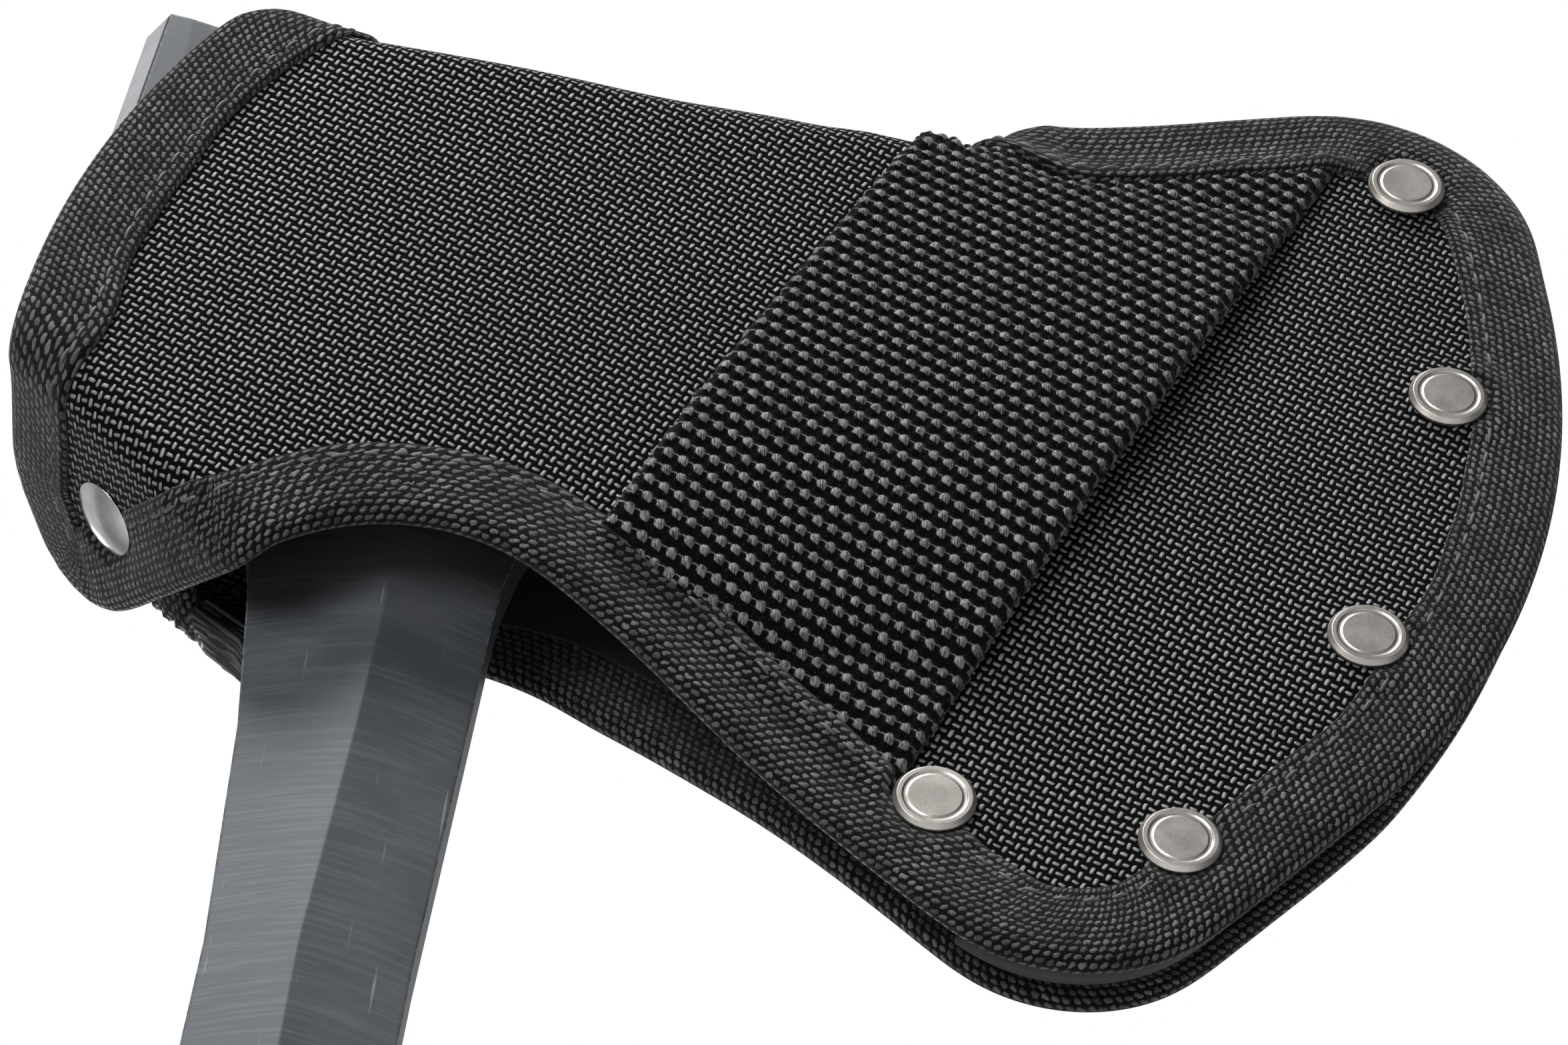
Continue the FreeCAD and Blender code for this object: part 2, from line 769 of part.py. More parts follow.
def rivet_places():
    """Rivets follow the rim from the toe round to the throat."""
    return [(109.9, 348.0), (115.6, 314.2), (107.7, 275.6), (88.9, 243.6), (62.7, 244.9)]


def rivet_holes(radius):
    holes = []
    for x, z in rivet_places():
        holes.append(Part.makeCylinder(radius, 2 * FAR, V(x, -FAR, z), V(0, 1, 0)))
    return Part.makeCompound(holes)


def wall_beyond_fold(offset, thickness):
    """Front wall from the end of the fold to the bit edge."""
    return layer(offset, thickness).common(block(west=dim("fold_station")))


def cover_shape(offset, thickness, inset):
    """Folded cover and its two free walls at the bit, trimmed to the panel outline."""
    front = wall_beyond_fold(offset, thickness)
    whole = folded_shell(offset, thickness).fuse([front, mirrored(front)])
    return whole.common(root_region(inset))


# ------------------------------------------------------------------ sheath: fixed pieces
def make_cover():
    shape = cover_shape(0, dim("fabric"), dim("tape_turn"))
    feature("outer_cover", shape.cut(rivet_holes(dim("rivet_hole"))))


def make_liners():
    """Stiff liners inside the two walls."""
    start = dim("fabric") + dim("layer_gap")
    below = block(high=dim("liner_top_z"))
    region = root_region(dim("tape_width") + dim("liner_margin")).common(below)
    front = layer(start, dim("liner")).common(region).cut(rivet_holes(dim("rivet_hole")))
    feature("front_liner", front)
    feature("rear_liner", mirrored(front))


def make_welt():
    """Guard strip between the panels, from the toe round the edge to the last rivet."""
    strip = outline_face(dim("welt_inset_outer")).cut(outline_face(dim("welt_inset_inner")))
    half = dim("welt_half")
    run = prism(strip, -half, half)
    bit = block(west=dim("welt_toe_x"))
    heel = block(west=dim("welt_heel_x"), high=dim("welt_heel_z"))
    shape = run.common(bit.fuse(heel)).cut(rivet_holes(dim("rivet_hole")))
    feature("edge_welt", shape)


def tape_band(shape_of, face_inset):
    """Folded tape round a free edge: outside and inside of the fabric, and over its edge."""
    tape, fabric = dim("tape"), dim("fabric")
    around = shape_of(-tape, fabric + 2 * tape, 0)
    window = shape_of(-tape - 1, fabric + 2 * tape + 2, face_inset)
    cloth = shape_of(0, fabric, dim("tape_turn"))
    return around.cut(window).cut(cloth)


def make_bindings():
    """Binding tape: round the bit side of each panel, and over the poll opening."""
    width = dim("tape_width")
    whole = tape_band(cover_shape, width)
    split = dim("side_tape_top_z")
    front_half = block(back=0)
    left_top = block(east=dim("fold_station"), low=split)
    rim = whole.cut(left_top).cut(cap_seats()).cut(rivet_holes(dim("rivet_hole")))
    feature("front_binding", rim.common(front_half))
    feature("rear_binding", mirrored(rim.common(front_half)))
    mouth = whole.common(block(east=0, low=split))
    crown = mouth.common(prism(outline_face().cut(outline_face(width))))
    feature("mouth_binding", crown)


def webbing_lift(z):
    """The belt loop lies on the panel at both sewn ends and stands off between them."""
    low, high = dim("webbing_free_low_z"), dim("webbing_free_high_z")
    if not low < z < high:
        return 0.0
    return dim("webbing_room") * math.sin(math.pi * (z - low) / (high - low)) ** 0.5


def make_belt_loop():
    """Webbing sewn down at the top fold and at the lower edge."""
    lean = math.radians(dim("webbing_lean"))
    run = V(math.sin(lean), 0, math.cos(lean))
    across = V(math.cos(lean), 0, -math.sin(lean))
    centre = V(dim("webbing_centre_x"), 0, dim("webbing_centre_z"))
    half = dim("webbing_width") / 2
    corners = [centre + across * a * half + run * b * FAR for a, b in
               ((-1, -1), (1, -1), (1, 1), (-1, 1))]
    strip = prism(Part.Face(polygon(corners)))
    inner = prism(outline_face(dim("tape_width") + dim("webbing_margin")))
    thick = dim("webbing_thick")
    sheet = layer(-thick - dim("layer_gap"), thick, webbing_lift)
    below = block(high=dim("webbing_top_z"))
    feature("belt_loop", sheet.common(strip).common(inner).common(below))


def rivet_seat(x, z):
    """Height of the cap's underside over the middle plane: it rests on the fabric's high side."""
    reach = dim("rivet_radius")
    around = [(x - reach, z), (x + reach, z), (x, z - reach), (x, z + reach)]
    return max(half_width(a, b) for a, b in around) + dim("rivet_seat_gap")


def cap_seats():
    """Room for the caps: each one presses the tape's edge down flat under it."""
    reach = dim("rivet_radius") + dim("rivet_seat_room")
    seats = []
    for x, z in rivet_places():
        foot = rivet_seat(x, z) - dim("layer_gap")
        seats.append(Part.makeCylinder(reach, FAR, V(x, -foot, z), V(0, -1, 0)))
        seats.append(Part.makeCylinder(reach, FAR, V(x, foot, z), V(0, 1, 0)))
    return Part.makeCompound(seats)


def placed_copies(label, master, height_sign):
    """One group of five copies of a turned piece, each on its own seat."""
    copies = []
    turn = FreeCAD.Rotation(V(1, 0, 0), 90 * height_sign)
    for i, (x, z) in enumerate(rivet_places()):
        link = DOC.addObject("App::Link", f"{label}_{i}")
        link.LinkedObject = master
        link.LinkTransform = False
        link.Placement = FreeCAD.Placement(V(x, -height_sign * rivet_seat(x, z), z), turn)
        copies.append(link)
    group = DOC.addObject("Part::Compound", label)
    group.Label = label
    group.Links = copies


def cap_profile():
    """Rivet cap: flat top with a ring groove and a rolled rim, as (radius, height)."""
    rim, high = cell("rivet_radius"), cell("rivet_height")
    return [
        (f"{rim} - 0.25", 0), (rim, 0.3), (rim, f"{high} - 0.5"), (f"{rim} - 0.45", high),
        (f"{rim} - 0.95", high), (f"{rim} - 1.15", f"{high} - 0.14"),
        (f"{rim} - 1.4", f"{high} - 0.14"), (f"{rim} - 1.6", f"{high} - 0.04"),
        (0, f"{high} - 0.04"),
    ]


def make_rivets():
    """Double-cap rivets: a post from the front cap inside a tube from the back cap."""
    stem, post, tube = cell("rivet_stem"), cell("rivet_post"), cell("rivet_tube")
    front = turned_body("rivet_cap_master",
                        cap_profile() + [(0, f"-{stem}"), (post, f"-{stem}"), (post, 0)])
    bore = f"{post} + {cell('running_gap')}"
    back = turned_body("rivet_back_master",
                       cap_profile() + [(0, 0.2), (bore, 0.2), (bore, f"-{stem}"),
                                        (tube, f"-{stem}"), (tube, 0)])
    DOC.recompute()
    placed_copies("rivet_caps", front, 1)
    placed_copies("rivet_backs", back, -1)
    return front, back


# ------------------------------------------------------------------ retention flaps
def wrap_frame():
    """Origin, tangent and outward normal of the plane that the flaps wrap on."""
    lean = math.radians(dim("wrap_lean"))
    out = V(-math.cos(lean), 0, -math.sin(lean))
    run = V(-out.z, 0, out.x)
    return V(dim("snap_x"), 0, dim("snap_z")), run, out


# Tongue outline: along the wrap plane, and back from the tongue's end towards the panel.
TONGUE_BEND = 11.6
TONGUE_ROUND = (3.3, 3.2)
TONGUE_TIP = 11.0
TONGUE_SHOULDER = (3.0, 3.3)
TONGUE_THROAT = (24.2, -12.3)
TONGUE_ROOT, TONGUE_ROOT_RIGHT = -34.0, 38.0


def tongue_face(end, inset):
    """Outline of a flap's tongue on the wrap plane, run on past the panel it grows from."""
    origin, run, out = wrap_frame()
    left = dim("tongue_left")

    def place(along_run, y):
        return origin + run * along_run + V(0, y, 0)

    share = end / dim("tongue_end")
    points = [place(left, TONGUE_ROOT), place(left, end - TONGUE_BEND * share),
              place(left + TONGUE_ROUND[0], end - TONGUE_ROUND[1] * share),
              place(left + TONGUE_TIP, end),
              place(TONGUE_SHOULDER[0], end - TONGUE_SHOULDER[1] * share),
              place(*TONGUE_THROAT), place(TONGUE_ROOT_RIGHT, TONGUE_ROOT)]
    loop = [
        Part.makeLine(points[0], points[1]),
        Part.Arc(points[1], points[2], points[3]).toShape(),
        Part.makeLine(points[3], points[4]),
        Part.makeLine(points[4], points[5]),
        Part.makeLine(points[5], points[6]),
        Part.makeLine(points[6], points[0]),
    ]
    face = Part.Face(Part.Wire(loop))
    if inset:
        face = face.makeOffset2D(-inset)
    return face


def inside_wrap(depth):
    """Everything more than depth inside the wrap plane."""
    origin, run, out = wrap_frame()
    start = origin - out * depth
    corners = [start - run * FAR, start + run * FAR, start + (run - out) * FAR,
               start - (run + out) * FAR]
    return prism(Part.Face(polygon(corners)))


def flap_shape(plane_depth, end):
    """Builder of one flap, front side: panel corner and tongue as one sheet."""
    def shape(offset, thickness, inset):
        _origin, _run, out = wrap_frame()
        corner = layer(offset, thickness).common(prism(outline_face(inset)))
        below_fold = block(high=dim("fold_line_top_z"))
        corner = corner.common(side_of_fold_line(False, dim("fold_line_gap")))
        corner = corner.common(below_fold).common(inside_wrap(plane_depth + offset))
        tongue = tongue_face(end, inset)
        tongue.translate(out * -(plane_depth + offset))
        tongue = tongue.extrude(out * -thickness)
        tongue = tongue.common(layer(offset, 60))
        return corner.fuse(tongue).removeSplitter()
    return shape


def snap_bore(radius):
    origin, _run, out = wrap_frame()
    return Part.makeCylinder(radius, 24, origin - out * 12, out)


def make_flaps():
    """Front flap outside, rear flap inside it; each carries half of the press stud."""
    fabric, width = dim("fabric"), dim("tape_width")
    bore = snap_bore(dim("snap_barrel") + dim("running_gap"))
    wide = snap_bore(dim("snap_radius") + 0.3)
    front = flap_shape(0.0, dim("tongue_end"))
    feature("front_flap", front(0, fabric, dim("tape_turn")).cut(bore))
    feature("front_flap_binding", tape_band(front, width).cut(wide))
    rear = flap_shape(dim("rear_tongue_offset"), dim("rear_tongue_end"))
    feature("rear_flap", mirrored(rear(0, fabric, dim("tape_turn")).cut(bore)))
    feature("rear_flap_binding", mirrored(tape_band(rear, width).cut(wide)))


def place_on_wrap(body, depth):
    """Stand a turned body on the wrap plane, its axis along the plane's outward normal."""
    origin, _run, out = wrap_frame()
    turn = FreeCAD.Rotation(V(0, 0, 1), out)
    body.Placement = FreeCAD.Placement(origin - out * depth, turn)


def make_press_stud():
    """Cap and socket on the front flap; stud and post on the rear flap."""
    fabric, gap = cell("fabric"), cell("running_gap")
    cap, socket, barrel = cell("snap_radius"), cell("socket_radius"), cell("snap_barrel")
    rim, high = dim("snap_rim"), dim("snap_height")
    rise = high - rim
    dome_radius = (dim("snap_radius") ** 2 + rise * rise) / (2 * rise)
    dome = arc_middle(V(dim("snap_radius"), rim, 0), V(0, high, 0), dome_radius, -1)
    rise = f"({cell('snap_height')} - {cell('snap_rim')})"
    dome_radius = f"({cap} * {cap} + {rise} * {rise}) / (2 * {rise})"
    place_on_wrap(turned_body("snap_cap", [
        (f"{cap} - 0.2", 0.05), (cap, cell("snap_rim")), (0, cell("snap_height")),
        (0, f"-({fabric} + 0.7)"), (barrel, f"-({fabric} + 0.7)"), (barrel, 0.05)],
        {1: (dome, dome_radius)}), 0)
    hole = f"{barrel} + {gap}"
    place_on_wrap(turned_body("snap_socket", [
        (hole, f"-({fabric} + 0.05)"), (hole, f"-({fabric} + 0.75)"),
        (2.0, f"-({fabric} + 0.75)"), (2.0, f"-({fabric} + 2.1)"),
        (f"{socket} - 0.6", f"-({fabric} + 2.1)"), (socket, f"-({fabric} + 1.3)"),
        (socket, f"-({fabric} + 0.05)")]), 0)
    place_on_wrap(turned_body("snap_stud", [
        (hole, -0.05), (socket, -0.05), (socket, 0.35), (f"{cell('stud_radius')} - 0.2", 0.35),
        (cell("stud_radius"), 1.2), (f"{cell('stud_radius')} - 0.3", 1.75),
        (0, 1.75), (0, 1.3), (hole, 1.3)]), dim("rear_tongue_offset") - 0.1)
    place_on_wrap(turned_body("snap_post", [
        (0, 1.2), (0, f"-({fabric} + 0.75)"), (socket, f"-({fabric} + 0.75)"),
        (socket, f"-({fabric} + 0.15)"), (barrel, f"-({fabric} + 0.15)"), (barrel, 1.2)]),
        dim("rear_tongue_offset") - 0.1)


# ------------------------------------------------------------------ build and write
def main():
    make_forging()
    make_grip()
    make_collar()
    make_butt_cap()
    make_butt_pins()
    make_cover()
    make_liners()
    make_welt()
    make_bindings()
    make_belt_loop()
    masters = make_rivets()
    make_flaps()
    make_press_stud()
    DOC.recompute()
    inner = {m.Name for m in masters} | {"butt_pin_a", "butt_pin_b"}
    for item in DOC.Objects:
        if "Invalid" in item.State or "Error" in item.State:
            raise RuntimeError(f"{item.Label} failed: {item.State}")
    for item in DOC.Objects:
        solid = item.TypeId in ("PartDesign::Body", "Part::Feature", "Part::Compound")
        if not solid or item.Name in inner:
            continue
        if item.Shape.isNull() or not item.Shape.isValid() or not item.Shape.Solids:
            raise RuntimeError(f"{item.Label} has no valid shape")
        item.Shape.exportStep(f"parts/{item.Label}.step")
        print(item.Label, len(item.Shape.Solids), round(item.Shape.Volume, 1))


main()
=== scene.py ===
"""Sheathed hatchet, dressed for rendering.

Frame: +Z runs up the handle, +X points to the cutting edge, -Y is the side with the belt loop.
Lengths of shapes are millimetres in the frame of the CAD part, and become metres in
to_object(). Lengths in the materials that paint CAD nodes, and of the lights, are metres.
"""

import math

import bpy
import numpy as np
from mathutils import Matrix, Vector
from mathutils.geometry import delaunay_2d_cdt


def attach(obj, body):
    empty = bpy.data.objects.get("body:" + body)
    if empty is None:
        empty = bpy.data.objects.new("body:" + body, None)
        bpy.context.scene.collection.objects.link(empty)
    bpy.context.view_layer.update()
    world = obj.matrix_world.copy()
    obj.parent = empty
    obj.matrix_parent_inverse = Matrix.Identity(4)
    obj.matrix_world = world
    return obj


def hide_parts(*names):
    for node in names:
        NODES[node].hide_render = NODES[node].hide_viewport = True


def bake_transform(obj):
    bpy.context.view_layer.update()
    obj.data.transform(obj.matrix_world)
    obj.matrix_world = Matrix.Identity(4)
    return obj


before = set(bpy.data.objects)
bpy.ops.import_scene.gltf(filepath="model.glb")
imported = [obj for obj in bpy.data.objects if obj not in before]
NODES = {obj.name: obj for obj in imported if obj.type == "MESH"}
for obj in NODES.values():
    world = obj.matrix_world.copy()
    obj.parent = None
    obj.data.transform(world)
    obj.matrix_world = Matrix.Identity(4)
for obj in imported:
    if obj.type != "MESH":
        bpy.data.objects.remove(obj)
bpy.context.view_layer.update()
MM = 0.001
PI = math.pi


def node_points(node):
    """Vertices of a CAD node in millimetres."""
    mesh = NODES[node].data
    co = np.zeros(len(mesh.vertices) * 3)
    mesh.vertices.foreach_get("co", co)
    return co.reshape(-1, 3) / MM


def smooth(t):
    """Smooth step from 0 to 1."""
    t = np.clip(t, 0.0, 1.0)
    return t * t * (3 - 2 * t)


def mix(a, b, t):
    return a + (b - a) * t


# ------------------------------------------------------------------ places taken from the frame
CAP_SPACING = 10.0  # no two caps stand closer, and no cap is this wide
CAP_RIM = 3.5  # radius beyond which a cap's points belong to its rim


def rivet_seats():
    """Centre (x, z), and distance of the cap's underside from the middle plane, of each rivet."""
    seats = []
    left = node_points("rivet_caps")
    while len(left):
        near = np.hypot(left[:, 0] - left[0, 0], left[:, 2] - left[0, 2]) < CAP_SPACING
        cap = left[near]
        centre = (cap[:, [0, 2]].min(0) + cap[:, [0, 2]].max(0)) / 2
        rim = np.hypot(cap[:, 0] - centre[0], cap[:, 2] - centre[1]) > CAP_RIM
        seats.append((centre[0], centre[1], -cap[rim][:, 1].max()))
        left = left[~near]
    return seats


RIVETS = rivet_seats()

# ------------------------------------------------------------------ sheath pattern
FABRIC = 1.2
TAPE_WIDTH = 10.5
TAPE_TURN = 0.9  # cloth that the binding takes up round the panel's edge
WRAP_LEAN = math.radians(47.15)  # way the tongue turns under the poll
WRAP_OUT = np.array([-math.cos(WRAP_LEAN), -math.sin(WRAP_LEAN)])
WRAP_RUN = np.array([math.sin(WRAP_LEAN), -math.cos(WRAP_LEAN)])
SNAP = np.array([-30.8, 276.3])
BEND = 5.0  # radius of the tongue's turn
REAR_DEPTH = 3.9  # how far the rear tongue lies under the front one
FOLD_RADIUS = 7.0
FOLD_ARC = FOLD_RADIUS * PI / 2
FOLD_TOP, FOLD_SLOPE = 347.0, -0.05
FOLD_STOP, FOLD_OPEN = 56.0, 68.0  # the top fold fades out between these
LEAN = math.radians(22.6)
ACROSS = np.array([math.cos(LEAN), -math.sin(LEAN)])
ALONG = np.array([math.sin(LEAN), math.cos(LEAN)])
WEB_CENTRE = np.array([58.2, 300.0])
WEB_HALF = 21.0
WEB_YARN, WEB_ROW = 0.925, 2.1
WASHERS = 24
RIM_STEP = 0.6  # spacing of the points along a panel's rim
UV_SCALE = 100.0  # millimetres in one UV unit
CAP_GAP = 0.04  # room between the pressed fabric and a rivet's cap
NOSE = 16.4  # how far the front tongue runs past the middle plane
REAR_NOSE = 7.5

STATIONS = [-46.0, 8.0, 44.0, 58.0, 98.0, 131.0]
# Half widths of the sheath at the stations, at mid height and at the lower edge.
WALL = [16.2, 15.0, 11.4, 10.0, 6.0, 4.4]
FOOT = [16.0, 12.5, 5.0, 4.5, 4.3, 4.2]
PINCH_LOW, PINCH_HIGH = 246.0, 286.0  # heights between which one passes into the other


def rounded_table(xs, ys, low, high, sigma):
    """Straight-line table softened at its stations."""
    grid = np.arange(low, high, 0.5)
    line = np.interp(grid, xs, ys)
    reach = np.arange(-3 * sigma, 3 * sigma + 0.1, 0.5)
    kernel = np.exp(-0.5 * (reach / sigma) ** 2)
    padded = np.pad(line, len(reach) // 2, mode="edge")
    return grid, np.convolve(padded, kernel / kernel.sum(), mode="valid")[: len(grid)]


WALL_X, WALL_Y = rounded_table(STATIONS, WALL, -90, 170, 6.0)
FOOT_X, FOOT_Y = rounded_table(STATIONS, FOOT, -90, 170, 6.0)
PINCH_Z, PINCH_Y = rounded_table([PINCH_LOW, PINCH_HIGH], [1.0, 0.0], 180, 400, 5.0)


def half_width(u, v):
    """Distance from the middle plane to the outside of the fabric, pressed flat at the rivets."""
    wall = np.interp(u, WALL_X, WALL_Y)
    foot = np.interp(u, FOOT_X, FOOT_Y)
    width = mix(wall, foot, np.interp(v, PINCH_Z, PINCH_Y))
    for x, z, seat in RIVETS:
        reach = np.hypot(u - x, v - z)
        width = mix(width, seat - CAP_GAP, smooth((9.0 - reach) / 4.6))
    return width


def shoulder(u):
    """Height at which the front wall starts to turn over the top fold."""
    return FOLD_TOP + FOLD_SLOPE * u - FOLD_RADIUS


def shoulder_press(u):
    """How far the top fold's shoulder is rubbed in behind the mouth tape."""
    return 1.1 * smooth((u + 24) / 12) * smooth((42 - u) / 24) - 0.6 * smooth((u - 40) / 8)


def crest(u):
    """Pattern height at which the folded panel reaches the middle plane."""
    return shoulder(u) + FOLD_ARC + np.interp(u, WALL_X, WALL_Y) - FOLD_RADIUS


def sheet(u, v, depth=0.0):
    """Point of the front panel's outer face for pattern coordinates (u, v).

    depth sinks the wrapped tongue below the wrap plane, for the rear flap.
    """
    u = np.asarray(u, float)
    v = np.asarray(v, float)
    s = (u - SNAP[0]) * WRAP_OUT[0] + (v - SNAP[1]) * WRAP_OUT[1] + depth
    over = np.maximum(s + BEND, 0)
    bu = u - WRAP_OUT[0] * over
    bv = v - WRAP_OUT[1] * over
    low = shoulder(bu)
    climb = np.maximum(bv - low, 0)
    width = half_width(bu, np.minimum(bv, low))
    turn = (PI / 2) * smooth((FOLD_OPEN - bu) / (FOLD_OPEN - FOLD_STOP))
    turn = np.maximum(turn, 1e-3)
    radius = FOLD_ARC / turn
    part = np.minimum(climb, FOLD_ARC)
    angle = turn * part / FOLD_ARC
    rest = np.maximum(climb - FOLD_ARC, 0)
    inward = radius * (1 - np.cos(angle)) + rest * np.sin(turn)
    rise = radius * np.sin(angle) + rest * np.cos(turn)
    y = -width + inward
    z = np.minimum(bv, low) + rise
    press = shoulder_press(bu) * np.clip(np.sin(2 * angle), 0, 1) ** 1.5 * (turn > 1.5)
    y = y + press * np.cos(angle)
    z = z - press * np.sin(angle)
    bent = np.minimum(over / BEND, PI / 2)
    flat = np.maximum(over - BEND * PI / 2, 0)
    x = bu + WRAP_OUT[0] * BEND * np.sin(bent)
    z = z + WRAP_OUT[1] * BEND * np.sin(bent)
    y = y + BEND * (1 - np.cos(bent)) + flat
    return np.stack([x, y, z], -1)


def sheet_frame(u, v, depth=0.0):
    """Point, and unit normal pointing out of the sheath."""
    step = 0.05
    point = sheet(u, v, depth)
    du = sheet(u + step, v, depth) - sheet(u - step, v, depth)
    dv = sheet(u, v + step, depth) - sheet(u, v - step, depth)
    normal = np.cross(du, dv)
    normal /= np.linalg.norm(normal, axis=-1, keepdims=True)
    return point, normal


def offset_sheet(u, v, off, depth=0.0):
    """Point at a distance off, outward, from the panel's outer face."""
    point, normal = sheet_frame(u, v, depth)
    return point + normal * np.asarray(off)[..., None]


# ------------------------------------------------------------------ panel outline in the pattern
def nearest_turn(angle, other):
    """The same angle, by whole turns within half a turn of the other."""
    while angle - other > PI:
        angle -= 2 * PI
    while angle - other < -PI:
        angle += 2 * PI
    return angle


def arc3(a, b, c, count=40):
    """Points along the circle through a, b and c."""
    (ax, ay), (bx, by), (cx, cy) = a, b, c
    aa, bb, cc = ax**2 + ay**2, bx**2 + by**2, cx**2 + cy**2
    d = 2 * (ax * (by - cy) + bx * (cy - ay) + cx * (ay - by))
    ux = (aa * (by - cy) + bb * (cy - ay) + cc * (ay - by)) / d
    uy = (aa * (cx - bx) + bb * (ax - cx) + cc * (bx - ax)) / d
    start, middle, stop = (math.atan2(p[1] - uy, p[0] - ux) for p in (a, b, c))
    stop = nearest_turn(stop, nearest_turn(middle, start))
    r = math.hypot(ax - ux, ay - uy)
    return [(ux + r * math.cos(q), uy + r * math.sin(q)) for q in np.linspace(start, stop, count)]


def wrapped(run, y, depth):
    """Pattern place of a point (run, y) of the tongue on its wrap plane."""
    base = SNAP + WRAP_RUN * run - WRAP_OUT * (BEND + depth)
    width = float(half_width(base[0], base[1]))
    s = y + width - 2 * BEND + BEND * PI / 2 - depth
    return tuple(SNAP + WRAP_RUN * run + WRAP_OUT * s)


def resample(points, step):
    """Points at equal distances along a line, and those distances."""
    points = np.array(points, float)
    gaps = np.linalg.norm(np.diff(points, axis=0), axis=1)
    keep = np.concatenate([[True], gaps > 1e-6])
    points = points[keep]
    run = np.concatenate([[0], np.cumsum(np.linalg.norm(np.diff(points, axis=0), axis=1))])
    count = int(round(run[-1] / step)) + 1
    at = np.linspace(0, run[-1], count)
    return np.stack([np.interp(at, run, points[:, k]) for k in (0, 1)], -1), at


def soften(points, rounds):
    """Average each point with its neighbours, the ends held."""
    points = points.copy()
    for _ in range(rounds):
        points[1:-1] = points[1:-1] * 0.5 + (points[:-2] + points[2:]) * 0.25
    return points


def panel_rim(end, depth):
    """Free edge of a panel: from the end of the top fold, round the bit and the tongue, to the
    crest at the poll. end is how far the tongue runs past the middle plane."""
    share = end / NOSE
    tongue = [wrapped(24.2, -12.3, depth), wrapped(3.0, end - 3.3 * share, depth)]
    tongue += arc3(wrapped(3.0, end - 3.3 * share, depth), wrapped(-4.0, end + 0.3, depth),
                   wrapped(-11.0, end - 2.2 * share, depth), 16)
    tongue += [wrapped(-17.3, end - 11.6 * share, depth), wrapped(-17.2, -11.0, depth)]
    top = FOLD_STOP + 2
    rim = [(top, float(crest(top)) - 0.2), (top + 5, float(crest(top + 5)) - 2.6), (70.0, 348.6)]
    rim += [(80.0, 352.0), (90.0, 356.0)]
    rim += arc3((97.5, 358.8), (117.9, 355.5), (126.2, 339))
    rim += arc3((126.2, 339), (128.8, 307), (112.2, 256))
    rim += arc3((93.5, 232.5), (80, 225), (65.5, 228.8))
    rim += [(29, 257.8)] + arc3((20.7, 263.5), (3, 268.2), (-13.2, 259.8), 30)
    rim += tongue
    mouth = arc3((-43.3, 284), (-39.3, 316), (-27, 344), 40)
    rim += [p for p in mouth if p[1] > 289]
    low = shoulder(-24.0)
    rim += [(-24.4, low + 5.0), (-22.0, low + 8.0), (-20.8, low + 11.0), (-20.4, low + 15.0),
            (-20.4, float(crest(-20.4)))]
    points, _ = resample(rim, RIM_STEP)
    return resample(soften(points, 45), RIM_STEP)[0]


FRONT_RIM = panel_rim(NOSE, 0.0)


def inward_normals(points):
    """Unit directions in the pattern, square to the rim and pointing into the panel."""
    tangent = np.gradient(points, axis=0)
    tangent /= np.linalg.norm(tangent, axis=1, keepdims=True)
    normal = np.stack([tangent[:, 1], -tangent[:, 0]], -1)
    smoothed = soften(normal, 10)
    return smoothed / np.linalg.norm(smoothed, axis=1, keepdims=True)


def rear_rim():
    """The rear panel is cut back a little, most of all beside its tongue."""
    rim = panel_rim(REAR_NOSE, REAR_DEPTH)
    # distance along the rim, and how much is cut off there
    places = [0, 120, 140, 160, 178, 204, 222, 240, 284, 298, 310, 328, 342, 356]
    trims = [0.2, 0.6, 1.4, 1.3, 0.6, 0.7, 1.4, 1.9, 2.3, 4.0, 8.0, 8.0, 3.0, 0.0]
    trim = soften(np.interp(np.arange(len(rim)) * RIM_STEP, places, trims), 60)
    return resample(soften(rim + inward_normals(rim) * trim[:, None], 8), RIM_STEP)[0]


REAR_RIM = rear_rim()


# ------------------------------------------------------------------ mesh building
def to_object(name, verts, faces, uvs, material):
    """Object from points in millimetres; uvs is None or one pair in millimetres per vertex."""
    mesh = bpy.data.meshes.new(name)
    mesh.from_pydata((np.asarray(verts, float) * MM).tolist(), [], [tuple(f) for f in faces])
    mesh.validate()
    mesh.update()
    if uvs is not None:
        layer = mesh.uv_layers.new(name="pattern")
        loops = np.zeros(len(mesh.loops), np.int32)
        mesh.loops.foreach_get("vertex_index", loops)
        layer.data.foreach_set("uv", (np.asarray(uvs, float)[loops] / UV_SCALE).ravel())
    mesh.polygons.foreach_set("use_smooth", [True] * len(mesh.polygons))
    item = bpy.data.objects.new(name, mesh)
    bpy.context.scene.collection.objects.link(item)
    mesh.materials.append(material)
    return item


def mirror_y(verts, faces):
    """The same mesh on the other side of the middle plane."""
    verts = np.array(verts, float)
    verts[:, 1] *= -1
    return verts, [tuple(reversed(f)) for f in faces]


def grid_faces(rows, columns, wrap=False):
    """Quads over a grid of points; wrap closes each row on itself."""
    faces = []
    last = columns if wrap else columns - 1
    for i in range(rows - 1):
        for j in range(last):
            k = (j + 1) % columns
            faces.append((i * columns + j, i * columns + k, (i + 1) * columns + k,
                          (i + 1) * columns + j))
    return faces


def tube_faces(rows, columns, base=0):
    """Faces of a tube over rings of points, closed at both ends."""
    faces = grid_faces(rows, columns, wrap=True)
    faces.append(tuple(reversed(range(columns))))
    faces.append(tuple(range((rows - 1) * columns, rows * columns)))
    return [tuple(base + i for i in f) for f in faces]


def weave_place(u, v):
    """Pattern coordinates measured along the weave: across and along the belt loop."""
    du, dv = u - WEB_CENTRE[0], v - WEB_CENTRE[1]
    return np.stack([du * ACROSS[0] + dv * ACROSS[1], du * ALONG[0] + dv * ALONG[1]], -1)


